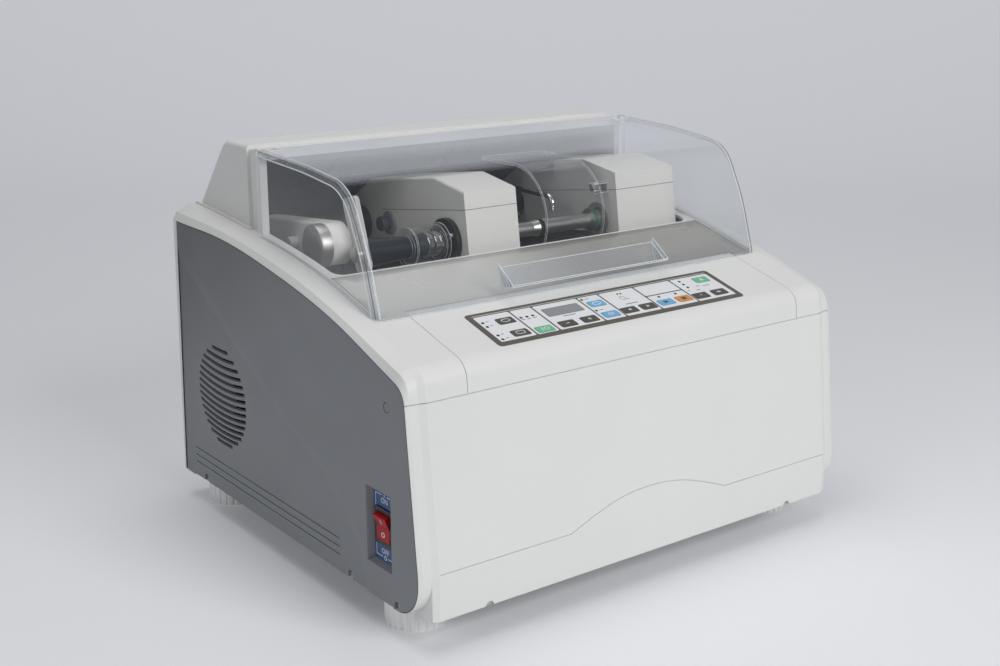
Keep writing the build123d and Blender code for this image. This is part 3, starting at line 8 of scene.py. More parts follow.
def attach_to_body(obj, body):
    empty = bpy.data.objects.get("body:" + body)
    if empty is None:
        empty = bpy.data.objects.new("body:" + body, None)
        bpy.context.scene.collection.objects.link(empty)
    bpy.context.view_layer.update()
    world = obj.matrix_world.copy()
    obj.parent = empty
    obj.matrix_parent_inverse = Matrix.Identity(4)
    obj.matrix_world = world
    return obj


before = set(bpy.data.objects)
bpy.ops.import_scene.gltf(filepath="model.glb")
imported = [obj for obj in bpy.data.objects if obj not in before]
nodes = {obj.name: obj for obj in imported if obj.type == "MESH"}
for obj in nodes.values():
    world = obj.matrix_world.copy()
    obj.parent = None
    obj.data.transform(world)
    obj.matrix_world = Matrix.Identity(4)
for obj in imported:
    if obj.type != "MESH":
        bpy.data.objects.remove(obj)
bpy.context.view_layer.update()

# ---- the studio ------------------------------------------------------------------------------
# A pale grey paper sweep runs under the machine and up behind it, and is a darker grey at its
# front end. The clear hood and the metal mirror its pale wall. Soft boxes hang in front of the
# machine, above it and at its left.

PAPER_FRONT = (0.36, 0.365, 0.38)
PAPER = (0.93, 0.94, 0.97)
PAPER_FADE = (-1.9, -0.7)
WALL_GLOW = (0.635, 0.65, 0.687)
GLOW_START = -0.2
GLOW_SHARES = (0.1, 0.7)
ROOM_COLOUR = (0.60, 0.62, 0.66)
ROOM_STRENGTH = 0.20
ROOM_SEEN = 0.85
SWEEP_REAR = 3.2
SWEEP_FRONT = -3.0
SWEEP_FLAT = (-1.0, 1.0)
SWEEP_HALF = 4.5
SWEEP_RADIUS = 1.2
SWEEP_TOP = 4.0
SWEEP_STEPS = 12
VIEW_HEADING = 36.85


def plain_material(name):
    """A new node material: returns it with its nodes, links and main shader."""
    material = bpy.data.materials.new(name)
    material.use_nodes = True
    tree = material.node_tree
    return material, tree.nodes, tree.links, tree.nodes["Principled BSDF"]


def two_tones(parts, links, factor, first, second):
    """A blend of two colours by a factor socket: returns the colour socket."""
    tone = parts.new("ShaderNodeMix")
    tone.data_type = "RGBA"
    tone.inputs["A"].default_value = (*first, 1)
    tone.inputs["B"].default_value = (*second, 1)
    links.new(factor, tone.inputs["Factor"])
    return tone.outputs["Result"]


def rise_between(parts, links, value, start, end, low=0.0, high=1.0):
    """A value socket that goes from low to high while another goes from start to end."""
    rise = parts.new("ShaderNodeMapRange")
    rise.inputs["From Min"].default_value = start
    rise.inputs["From Max"].default_value = end
    rise.inputs["To Min"].default_value = low
    rise.inputs["To Max"].default_value = high
    links.new(value, rise.inputs["Value"])
    return rise.outputs["Result"]


def reckoned(parts, links, operation, *terms):
    """A sum worked out on value sockets and plain numbers: returns its value socket."""
    worked = parts.new("ShaderNodeMath")
    worked.operation = operation
    for place, term in zip(worked.inputs, terms):
        if isinstance(term, float):
            place.default_value = term
        else:
            links.new(term, place)
    return worked.outputs["Value"]


def mixed(parts, links, factor, first, second):
    """A mix of two shader sockets by a factor, a number or a socket: returns its socket."""
    mix = parts.new("ShaderNodeMixShader")
    if isinstance(factor, float):
        mix.inputs["Fac"].default_value = factor
    else:
        links.new(factor, mix.inputs["Fac"])
    links.new(first, mix.inputs[1])
    links.new(second, mix.inputs[2])
    return mix.outputs["Shader"]


def place_along(parts, links):
    """The three coordinates of a point on the piece, in metres, as value sockets."""
    place = parts.new("ShaderNodeTexCoord")
    split = parts.new("ShaderNodeSeparateXYZ")
    links.new(place.outputs["Object"], split.inputs["Vector"])
    return split.outputs["X"], split.outputs["Y"], split.outputs["Z"]


def mesh_piece(name, points, faces, material):
    """A new object from points in metres and faces, with one material."""
    mesh = bpy.data.meshes.new(name)
    mesh.from_pydata(points, [], faces)
    mesh.update()
    piece = bpy.data.objects.new(name, mesh)
    bpy.context.scene.collection.objects.link(piece)
    piece.data.materials.append(material)
    return piece


sweep_paper, paper_nodes, paper_links, paper_shader = plain_material("sweep_paper")
paper_shader.inputs["Roughness"].default_value = 0.85
_, paper_depth, _ = place_along(paper_nodes, paper_links)
paper_near = rise_between(paper_nodes, paper_links, paper_depth, *PAPER_FADE)
paper_tone = two_tones(paper_nodes, paper_links, paper_near, PAPER_FRONT, PAPER)
paper_links.new(paper_tone, paper_shader.inputs["Base Color"])
paper_rays = paper_nodes.new("ShaderNodeLightPath")
paper_seen = paper_rays.outputs["Is Camera Ray"]
for ray in ("Is Glossy Ray", "Is Transmission Ray"):
    paper_seen = reckoned(
        paper_nodes, paper_links, "MAXIMUM", paper_seen, paper_rays.outputs[ray]
    )
wall_share = rise_between(
    paper_nodes, paper_links, paper_depth, GLOW_START, SWEEP_REAR, *GLOW_SHARES
)
glow_share = reckoned(paper_nodes, paper_links, "MULTIPLY", wall_share, paper_seen)
wall_glow = paper_nodes.new("ShaderNodeEmission")
wall_glow.inputs["Color"].default_value = (*WALL_GLOW, 1)
paper_skin = paper_shader.outputs["BSDF"]
paper_mix = mixed(paper_nodes, paper_links, glow_share, paper_skin, wall_glow.outputs["Emission"])
paper_links.new(paper_mix, paper_nodes["Material Output"].inputs["Surface"])

bend_start = SWEEP_REAR - SWEEP_RADIUS
sweep_line = [(y, 0.0) for y in (SWEEP_FRONT, *SWEEP_FLAT, bend_start)]
for step in range(1, SWEEP_STEPS + 1):
    turn = math.radians(90 * step / SWEEP_STEPS)
    bend_rise = SWEEP_RADIUS - SWEEP_RADIUS * math.cos(turn)
    sweep_line.append((bend_start + SWEEP_RADIUS * math.sin(turn), bend_rise))
sweep_line.append((SWEEP_REAR, SWEEP_TOP))
sweep_points = [(side * SWEEP_HALF, y, z) for y, z in sweep_line for side in (-1, 1)]
sweep_faces = [
    (2 * step, 2 * step + 1, 2 * step + 3, 2 * step + 2) for step in range(len(sweep_line) - 1)
]
paper_sweep = mesh_piece("paper_sweep", sweep_points, sweep_faces, sweep_paper)
for face in paper_sweep.data.polygons:
    face.use_smooth = True
paper_sweep.rotation_euler = (0, 0, math.radians(-VIEW_HEADING))

world = bpy.data.worlds.new("studio_room")
world.use_nodes = True
room_nodes = world.node_tree.nodes
room_links = world.node_tree.links
room_nodes["Background"].inputs["Color"].default_value = (*ROOM_COLOUR, 1)
room_rays = room_nodes.new("ShaderNodeLightPath")
room_seen = room_rays.outputs["Is Camera Ray"]
room_light = rise_between(room_nodes, room_links, room_seen, 0, 1, ROOM_STRENGTH, ROOM_SEEN)
room_links.new(room_light, room_nodes["Background"].inputs["Strength"])
bpy.context.scene.world = world
bpy.context.scene.view_settings.view_transform = "Standard"


def soft_lamp(name, place, aim, size, power):
    """A square soft box that hangs at a place and faces another point."""
    lamp = bpy.data.lights.new(name, "AREA")
    lamp.shape = "SQUARE"
    lamp.size = size
    lamp.energy = power
    holder = bpy.data.objects.new(name, lamp)
    holder.location = place
    holder.rotation_euler = (Vector(aim) - Vector(place)).to_track_quat("-Z", "Y").to_euler()
    bpy.context.scene.collection.objects.link(holder)


soft_lamp("key_soft_box", place=(0.35, -2.9, 1.75), aim=(0, 0, 0.15), size=1.6, power=56)
soft_lamp("top_soft_box", place=(-0.2, 0.2, 2.6), aim=(0, 0, 0.2), size=1.8, power=21)
soft_lamp("side_soft_box", place=(-2.6, -0.6, 1.5), aim=(0, 0, 0.15), size=1.4, power=11)

# ---- the camera ------------------------------------------------------------------------------
# It stands in front of the machine's left corner, a little above it, and looks down on the deck.
# Its place, tilt and lens were fitted to the straight edges of the real cabinet.

EYE = (-0.88094, -1.17072, 0.60884)
EYE_DOWN = 15.65
EYE_LENS = 50.47

camera_data = bpy.data.cameras.new("camera")
camera_data.lens = EYE_LENS
camera_data.sensor_width = 36.0
camera_data.clip_start = 0.05
camera = bpy.data.objects.new("camera", camera_data)
camera.location = EYE
camera.rotation_euler = (math.radians(90 - EYE_DOWN), 0, math.radians(-VIEW_HEADING))
bpy.context.scene.collection.objects.link(camera)
bpy.context.scene.camera = camera

# ---- white cabinet mouldings -----------------------------------------------------------------
# The front, the cover, the deck and the rear housing are injection mouldings in off-white ABS.
# Their skin has a fine satin texture that softens every highlight.

WHITE = (0.77, 0.77, 0.755)
GRAIN_PITCH = 0.0007
GRAIN_DEPTH = 0.0002
CLOUD_SCALE = 14.0
CLOUD_RANGE = (0.3, 0.7)
GLOSS_SPREAD = 0.05
NODE_CREASE = 28


def grained(parts, links, shader, strength):
    """A fine raised grain on a shader's surface."""
    place = parts.new("ShaderNodeTexCoord")
    skin = parts.new("ShaderNodeTexNoise")
    skin.inputs["Scale"].default_value = 1.0 / GRAIN_PITCH
    skin.inputs["Detail"].default_value = 2.0
    links.new(place.outputs["Object"], skin.inputs["Vector"])
    bump = parts.new("ShaderNodeBump")
    bump.inputs["Strength"].default_value = strength
    bump.inputs["Distance"].default_value = GRAIN_DEPTH
    links.new(skin.outputs["Fac"], bump.inputs["Height"])
    links.new(bump.outputs["Normal"], shader.inputs["Normal"])


def cloudy(parts, links, shader, roughness):
    """A soft cloud pattern that makes a surface's gloss uneven: returns its factor socket."""
    place = parts.new("ShaderNodeTexCoord")
    cloud = parts.new("ShaderNodeTexNoise")
    cloud.inputs["Scale"].default_value = CLOUD_SCALE
    cloud.inputs["Detail"].default_value = 4.0
    links.new(place.outputs["Object"], cloud.inputs["Vector"])
    glossy = max(0.02, roughness - GLOSS_SPREAD)
    dull = roughness + GLOSS_SPREAD
    gloss = rise_between(parts, links, cloud.outputs["Fac"], *CLOUD_RANGE, glossy, dull)
    links.new(gloss, shader.inputs["Roughness"])
    return cloud.outputs["Fac"]


def moulded(name, colour, roughness=0.45, grain=0.08, mottle=0.02, coat=0.0):
    """A moulded plastic or painted skin: fine texture, faint cloudiness, uneven gloss."""
    material, parts, links, shader = plain_material(name)
    cloud = cloudy(parts, links, shader, roughness)
    dark = [part * (1 - mottle) for part in colour]
    light = [min(1.0, part * (1 + mottle)) for part in colour]
    links.new(two_tones(parts, links, cloud, dark, light), shader.inputs["Base Color"])
    grained(parts, links, shader, grain)
    shader.inputs["Coat Weight"].default_value = coat
    return material


def shade_curves(mesh, angle):
    """Smooth shading, with creases kept where faces meet at more than an angle."""
    mesh.shade_smooth()
    mesh.set_sharp_from_angle(angle=math.radians(angle))


def finish_nodes(material, *names, angle=NODE_CREASE):
    """CAD nodes take a material, and their curved faces are shaded smooth."""
    for name in names:
        mesh = nodes[name].data
        mesh.materials.clear()
        mesh.materials.append(material)
        shade_curves(mesh, angle)


white_abs = moulded("white_abs", WHITE)
finish_nodes(
    white_abs,
    "front_panel",
    "front_skirt",
    "top_cover",
    "control_deck",
    "rear_housing",
    "back_panel",
)

# ---- grey side panels ------------------------------------------------------------------------
# Each side is closed by a mid-grey textured panel that drops into a window in the white cabinet.
# A round plug of the same grey fills the fixing hole near its upper front corner. A black bead in
# the gap round the panel and a black ring round the plug are painted shade of those gaps, and the
# panel's grey is painted darker towards its upper rear corner as painted shade.

MM = 0.001
SIDES = ((-1, "left"), (1, "right"))
GREY = (0.232, 0.243, 0.258)
# the darker grey is painted shade for the panel's upper rear corner
GREY_PAINTED_SHADE = (0.135, 0.142, 0.150)
GREY_LEAN = 0.62
GREY_FADE = (0.25, 0.44)
PIECE_CREASE = 30
WELD = 1e-7
PLUG_PLACE = (-191.5, 219.5)
PLUG_FACE_X = 268.4
PLUG_SHAPE = [(0.0, 0.0), (0.0, 4.55), (1.1, 4.55), (1.4, 4.2), (1.5, 0.0)]
# the black ring round the plug and the bead round the panel are painted shade of their gaps
PLUG_GAP_SHADE_SHAPE = [(0.0, 4.45), (0.0, 5.0), (1.2, 5.0), (1.2, 4.45), (0.0, 4.45)]
PANEL_OUTSIDE_X = 268.5
GAP_SHADE_X = 269.4
GAP_SHADE_RADIUS = 0.5
GAP_SHADE_LEAST_RISE = 0.12
SHARP_ANGLE = 50
STRAIGHT_ON = 0.8


def to_metres(point):
    """A point given in millimetres, in metres."""
    return tuple(MM * part for part in point)


def attach(piece, body):
    """A finished piece is shaded, and rides on a body."""
    shade_curves(piece.data, PIECE_CREASE)
    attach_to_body(piece, body)


def close_up(piece):
    """Doubled points of a piece are welded, and its faces turned outward."""
    shape = bmesh.new()
    shape.from_mesh(piece.data)
    bmesh.ops.remove_doubles(shape, verts=shape.verts, dist=WELD)
    bmesh.ops.dissolve_degenerate(shape, dist=WELD / 10, edges=shape.edges)
    bmesh.ops.recalc_face_normals(shape, faces=shape.faces)
    shape.to_mesh(piece.data)
    shape.free()


def turned_piece(name, profile, centre, material, body, sides=48, towards=1):
    """A piece turned round an axis along X: profile is (distance, radius) pairs in mm."""
    points, faces = [], []
    for distance, radius in profile:
        for side in range(sides):
            turn = 2 * math.pi * side / sides
            across = (radius * math.cos(turn), radius * math.sin(turn))
            place = (centre[0] + towards * distance, centre[1] + across[0], centre[2] + across[1])
            points.append(to_metres(place))
    for near in range(0, len(points) - sides, sides):
        far = near + sides
        for side in range(sides):
            ahead = (side + 1) % sides
            faces.append((near + side, near + ahead, far + ahead, far + side))
    piece = mesh_piece(name, points, faces, material)
    close_up(piece)
    attach(piece, body)


grey_abs = moulded("grey_abs", GREY, roughness=0.5, grain=0.12)
# painted shade: the grey deepens towards the panel's upper rear corner, where shade falls on the
# panel
grey_nodes = grey_abs.node_tree.nodes
grey_links = grey_abs.node_tree.links
_, grey_depth, grey_height = place_along(grey_nodes, grey_links)
grey_reach = reckoned(
    grey_nodes, grey_links, "MULTIPLY_ADD", grey_depth, GREY_LEAN, grey_height
)
grey_painted_shade = rise_between(grey_nodes, grey_links, grey_reach, *GREY_FADE)
grey_tone = two_tones(grey_nodes, grey_links, grey_painted_shade, GREY, GREY_PAINTED_SHADE)
grey_links.new(grey_tone, grey_nodes["Principled BSDF"].inputs["Base Color"])
finish_nodes(grey_abs, "left_side_panel", "right_side_panel")
for side, side_name in SIDES:
    turned_piece(
        f"{side_name}_hole_plug",
        PLUG_SHAPE,
        (side * PLUG_FACE_X, *PLUG_PLACE),
        grey_abs,
        "cabinet",
        towards=side,
    )


def cut_out(name, curve, plane, material, body):
    """A curve or a word becomes a thin mesh that lies on a plane."""
    pattern = bpy.data.objects.new(name, curve)
    mesh = bpy.data.meshes.new_from_object(pattern)
    mesh.name = name
    bpy.data.objects.remove(pattern)
    mesh.transform(plane)
    piece = bpy.data.objects.new(name, mesh)
    bpy.context.scene.collection.objects.link(piece)
    mesh.materials.clear()
    mesh.materials.append(material)
    attach(piece, body)


def sharp_lines(node):
    """The runs of a CAD node's sharp edges: lists of points in metres."""
    shape = bmesh.new()
    shape.from_mesh(nodes[node].data)
    bmesh.ops.remove_doubles(shape, verts=shape.verts, dist=1e-6)
    waiting = {
        edge.index: edge
        for edge in shape.edges
        if len(edge.link_faces) == 2 and edge.calc_face_angle() > math.radians(SHARP_ANGLE)
    }
    runs = []
    while waiting:
        _, edge = waiting.popitem()
        run = [edge.verts[0], edge.verts[1]]
        for grow_front in (False, True):
            while True:
                last, before = (run[0], run[1]) if grow_front else (run[-1], run[-2])
                ahead = (last.co - before.co).normalized()
                best = None
                for near in last.link_edges:
                    if near.index not in waiting:
                        continue
                    straight = (near.other_vert(last).co - last.co).normalized().dot(ahead)
                    if straight > STRAIGHT_ON and (best is None or straight > best[0]):
                        best = (straight, near)
                if best is None:
                    break
                del waiting[best[1].index]
                following = best[1].other_vert(last)
                if grow_front:
                    run.insert(0, following)
                else:
                    run.append(following)
        runs.append([tuple(vertex.co) for vertex in run])
    shape.free()
    return runs


def beads(name, runs, radius, material, body):
    """Thin round beads that follow runs of points, such as painted shade in a gap, or painted
    highlights along a sheet's polished edges.
    """
    curve = bpy.data.curves.new(name, "CURVE")
    curve.dimensions = "3D"
    curve.bevel_depth = MM * radius
    curve.bevel_resolution = 1
    curve.use_fill_caps = True
    for run in runs:
        spline = curve.splines.new("POLY")
        spline.points.add(len(run) - 1)
        for point, place in zip(spline.points, run):
            point.co = (*place, 1)
    cut_out(name, curve, Matrix.Identity(4), material, body)


# painted shade: a black ring round each plug and a black bead along the gap round each panel
gap_shade_black = moulded("gap_shade_black", (0.02, 0.02, 0.02), roughness=0.7)
for side, side_name in SIDES:
    turned_piece(
        f"{side_name}_plug_gap_shade",
        PLUG_GAP_SHADE_SHAPE,
        (side * PLUG_FACE_X, *PLUG_PLACE),
        gap_shade_black,
        "cabinet",
        towards=side,
    )
    gap_shade_runs = []
    for run in sharp_lines(f"{side_name}_side_panel"):
        heights = [point[2] for point in run]
        outermost = min(abs(point[0]) for point in run) > MM * PANEL_OUTSIDE_X
        if outermost and max(heights) - min(heights) > GAP_SHADE_LEAST_RISE:
            gap_shade_runs.append([(side * MM * GAP_SHADE_X, point[1], point[2]) for point in run])
    beads(f"{side_name}_panel_gap_shade", gap_shade_runs, GAP_SHADE_RADIUS, gap_shade_black, "cabinet")

# ---- base pan and feet -----------------------------------------------------------------------
# A folded and painted steel pan carries the works and closes the cabinet from below. Four ribbed
# feet in pale plastic are screwed under it.

pan_paint = moulded("pan_paint", (0.40, 0.40, 0.39), roughness=0.55, grain=0.2)
foot_plastic = moulded("foot_plastic", (0.92, 0.92, 0.91), roughness=0.5)
finish_nodes(pan_paint, "base_pan")
finish_nodes(foot_plastic, "feet", angle=40)

# ---- power switch ----------------------------------------------------------------------------
# A red rocker sits in a black frame, at the back of a sloped recess in the left side panel. A
# blue printed plate lines the recess; its white line and its ON and OFF marks are printed on it.

SWITCH_MIDDLE = (-174, 100)
LABEL_X = -263.0
LABEL_SIZE = (35.4, 68.4)
LABEL_WINDOW = (24.9, 31.5)
LABEL_THICK = 0.35
INK_THICK = 0.08
LINE_HALF = (14.6, 30.4)
LINE_WIDE = 0.75
LINE_GAP = 4.2
STROKE_TALL = 3.4
STROKE_DROP = 0.4
RING_RADII = (2.3, 1.5)
MARK_RISE = 24.6
MARK_SIZE = 7.2
ROCKER_AXIS_X = -263.0
ROCKER_TURN = math.radians(10)
ROCKER_FACE_LEAN = math.atan2(2.8, 13.2)
ROCKER_FACE_RISE = 2.28
ROCKER_MARK_THICK = 0.14
CORNER_STEPS = 5


def rounded_outline(middle, size, radius):
    """The outline of a rectangle with rounded corners."""
    outline = []
    for quarter, (right, up) in enumerate(((1, 1), (-1, 1), (-1, -1), (1, -1))):
        centre_x = middle[0] + right * (size[0] / 2 - radius)
        centre_y = middle[1] + up * (size[1] / 2 - radius)
        for step in range(CORNER_STEPS + 1):
            turn = math.pi / 2 * (quarter + step / CORNER_STEPS)
            across = radius * math.cos(turn)
            rise = radius * math.sin(turn)
            outline.append((centre_x + across, centre_y + rise))
    return outline


def round_outline(middle, half_wide, half_tall, sides=32):
    """The outline of a circle or an ellipse."""
    turns = [2 * math.pi * side / sides for side in range(sides)]
    return [
        (middle[0] + half_wide * math.cos(turn), middle[1] + half_tall * math.sin(turn))
        for turn in turns
    ]


def flat_piece(name, plane, outlines, thick, material, body):
    """A thin flat piece cut to outlines in mm, with holes where an outline lies in another."""
    curve = bpy.data.curves.new(name, "CURVE")
    curve.dimensions = "2D"
    curve.fill_mode = "BOTH"
    curve.extrude = MM * thick / 2
    for outline in outlines:
        spline = curve.splines.new("POLY")
        spline.points.add(len(outline) - 1)
        for point, (x, y) in zip(spline.points, outline):
            point.co = (MM * x, MM * y, 0, 1)
        spline.use_cyclic_u = True
    cut_out(name, curve, plane, material, body)


def left_face(x):
    """The plane of the left side at one X in mm: its first axis points to the machine's front."""
    return Matrix(
        (
            (0, 0, -1, MM * x),
            (-1, 0, 0, MM * SWITCH_MIDDLE[0]),
            (0, 1, 0, MM * SWITCH_MIDDLE[1]),
            (0, 0, 0, 1),
        )
    )


def bar_piece(name, plane, bars, thick, material, body):
    """A thin piece made of flat bars in mm, each given by its middle and its size."""
    points, faces = [], []
    for (middle_x, middle_y), (wide, tall) in bars:
        first = len(points)
        for rise in (-thick / 2, thick / 2):
            for across, up in ((-1, -1), (1, -1), (1, 1), (-1, 1)):
                corner = (middle_x + across * wide / 2, middle_y + up * tall / 2, rise)
                points.append(plane @ (MM * Vector(corner)))
        faces.append((first + 3, first + 2, first + 1, first))
        faces.append((first + 4, first + 5, first + 6, first + 7))
        for corner in range(4):
            after = (corner + 1) % 4
            faces.append((first + corner, first + after, first + 4 + after, first + 4 + corner))
    attach(mesh_piece(name, points, faces, material), body)


def bar(middle, size):
    """The outline of a plain bar."""
    half_wide, half_tall = size[0] / 2, size[1] / 2
    return [
        (middle[0] + across * half_wide, middle[1] + up * half_tall)
        for across, up in ((-1, -1), (1, -1), (1, 1), (-1, 1))
    ]


switch_black = moulded("switch_black", (0.02, 0.02, 0.022), roughness=0.35)
rocker_red = moulded("rocker_red", (0.42, 0.006, 0.008), roughness=0.3)
rocker_red.node_tree.nodes["Principled BSDF"].inputs["Specular IOR Level"].default_value = 0.25
label_blue = moulded("label_blue", (0.045, 0.11, 0.28), roughness=0.5, grain=0.03)
white_ink = moulded("white_ink", (0.80, 0.81, 0.82), roughness=0.5, grain=0.03)
finish_nodes(switch_black, "switch_bezel")
finish_nodes(rocker_red, "power_rocker")
strip_wide = (LABEL_SIZE[0] - LABEL_WINDOW[0]) / 2
strip_tall = (LABEL_SIZE[1] - LABEL_WINDOW[1]) / 2
strip_x = (LABEL_WINDOW[0] + strip_wide) / 2
strip_y = (LABEL_WINDOW[1] + strip_tall) / 2
label_bars = [((0, side * strip_y), (LABEL_SIZE[0], strip_tall)) for side in (1, -1)]
label_bars += [((side * strip_x, 0), (strip_wide, LABEL_WINDOW[1])) for side in (1, -1)]
label_plane = left_face(LABEL_X - LABEL_THICK / 2)
bar_piece(
    "switch_label", label_plane, label_bars, LABEL_THICK, label_blue, "cabinet"
)
ink_plane = left_face(LABEL_X - LABEL_THICK - INK_THICK / 2)
line_bars = [((side * LINE_HALF[0], 0), (LINE_WIDE, 2 * LINE_HALF[1])) for side in (-1, 1)]
end_bar = LINE_HALF[0] - LINE_WIDE / 2 - LINE_GAP
for rise in (-1, 1):
    for side in (-1, 1):
        middle = (side * (LINE_GAP + end_bar / 2), rise * (LINE_HALF[1] - LINE_WIDE / 2))
        line_bars.append((middle, (end_bar, LINE_WIDE)))
line_bars.append(((0, LINE_HALF[1] - STROKE_DROP), (LINE_WIDE, STROKE_TALL)))
bar_piece(
    "switch_label_line", ink_plane, line_bars, INK_THICK, white_ink, "cabinet"
)
flat_piece(
    "switch_label_ring",
    ink_plane,
    [round_outline((0, -LINE_HALF[1]), radius, radius) for radius in RING_RADII],
    INK_THICK,
    white_ink,
    "cabinet",
)
for word, rise in (("ON", MARK_RISE), ("OFF", -MARK_RISE)):
    lettering = bpy.data.curves.new(f"switch_{word.lower()}_mark", "FONT")
    lettering.body = word
    lettering.size = MM * MARK_SIZE
    lettering.extrude = MM * INK_THICK / 2
    lettering.resolution_u = 4
    lettering.align_x = "CENTER"
    lettering.align_y = "CENTER"
    word_plane = ink_plane @ Matrix.Translation((0, MM * rise, 0))
    cut_out(lettering.name, lettering, word_plane, white_ink, "cabinet")

# the rocker's two faces carry a bar and a ring, moulded a little proud of the red
rocker_turned = left_face(ROCKER_AXIS_X) @ Matrix.Rotation(ROCKER_TURN, 4, "X")
rocker_middle = rocker_turned @ Matrix.Translation((0, 0, MM * ROCKER_FACE_RISE))
for mark_name, upper, outlines in (
    ("rocker_bar", 1, [bar((0, 6.6), (1.1, 5.2))]),
    (
        "rocker_ring",
        -1,
        [round_outline((0, -6.8), 3.0, 2.4), round_outline((0, -6.8), 2.1, 1.5)],
    ),
):
    flat_piece(
        mark_name,
        rocker_middle @ Matrix.Rotation(upper * ROCKER_FACE_LEAN, 4, "X"),
        outlines,
        ROCKER_MARK_THICK,
        white_ink,
        "power_rocker",
    )

# ---- keypad ----------------------------------------------------------------------------------
# A printed film lies in a shallow pocket in the deck. White fields on it group the embossed keys,
# and small lamps and a grey display show through it. Every key carries a printed sign, and each
# print is sunk a hair into what it lies on.

DECK_SLOPE = math.atan(0.27)
KEYPAD_MIDDLE = (-179.25, 266.6325)
KEY_SIZE = (19, 10.5)
KEY_GAP = 0.4
KEY_TOP = 1.0
FILM_TOP = 0.4
FIELD_HALF = 23.5
FIELD_THICK = 0.07
FIELD_CORNER = 1.6
MOAT_CORNER = 2.4
SIGN_THICK = 0.07
PRINT_SUNK = 0.01
LAMP_RIM = (1.7, 1.0)
RIM_SIDES = 20
DISPLAY_MIDDLE = (-57, 8.3)
DISPLAY_FRAME_RISE = 0.1
DISPLAY_FRAME_THICK = 0.3
DROP_SIDES = 24
FIELDS = [(-152.75, -112.25), (-110.25, -85.75), (-83.75, -29.75), (-27.75, -2.55)]
FIELDS += [(-0.55, 43.85), (45.85, 93.55), (95.55, 146.75)]
SPLIT_FIELD = 5
SPLIT_GAP = (2.0, 3.8)


def keypad_plane(rise, x=0.0, v=0.0):
    """The keypad's plane, raised by mm, with its origin at one X and one place up the slope."""
    lean = Matrix.Rotation(DECK_SLOPE, 4, "X")
    middle = Matrix.Translation(to_metres((0, *KEYPAD_MIDDLE)))
    return middle @ lean @ Matrix.Translation(to_metres((x, v, rise)))


def triangle(middle, reach, half_tall):
    """The outline of an arrow head; a negative reach points it to the left."""
    x, y = middle
    return [(x - reach, y - half_tall), (x + reach, y), (x - reach, y + half_tall)]


def ring(middle, half_wide, half_tall, line=0.9):
    """A ring drawn as two outlines."""
    return [
        round_outline(middle, half_wide, half_tall),
        round_outline(middle, half_wide - line, half_tall - line),
    ]


def drop_outline(middle, radius, tip):
    """The outline of a drop with its tip up."""
    outline = []
    for side in range(DROP_SIDES + 1):
        turn = math.radians(140 + 260 * side / DROP_SIDES)
        outline.append((middle[0] + radius * math.cos(turn), middle[1] + radius * math.sin(turn)))
    return outline + [(middle[0], middle[1] + tip)]


def film_print(name, rise, outlines, thick, ink):
    """Ink on the keypad's film, at a rise in mm over the deck's pocket."""
    flat_piece(name, keypad_plane(rise), outlines, thick, ink, "cabinet")


film_taupe = moulded("film_taupe", (0.105, 0.093, 0.077), roughness=0.45, grain=0.05)
field_white = moulded("field_white", (0.80, 0.81, 0.83), roughness=0.4, grain=0.04)
key_taupe = moulded("key_taupe", (0.075, 0.068, 0.06), roughness=0.45, grain=0.05)
key_green = moulded("key_green", (0.16, 0.50, 0.30), roughness=0.45, grain=0.05)
key_blue = moulded("key_blue", (0.16, 0.42, 0.68), roughness=0.45, grain=0.05)
key_orange = moulded("key_orange", (0.66, 0.28, 0.07), roughness=0.45, grain=0.05)
display_grey = moulded("display_grey", (0.27, 0.285, 0.29), roughness=0.18, grain=0.0)
lamp_lens = moulded("lamp_lens", (0.035, 0.033, 0.03), roughness=0.2, grain=0.0)
pale_ink = moulded("pale_ink", (0.72, 0.72, 0.70), roughness=0.5, grain=0.03)
dark_ink = moulded("dark_ink", (0.07, 0.065, 0.06), roughness=0.5, grain=0.03)
finish_nodes(film_taupe, "keypad_overlay")
finish_nodes(display_grey, "display_window")
finish_nodes(lamp_lens, "indicator_leds")

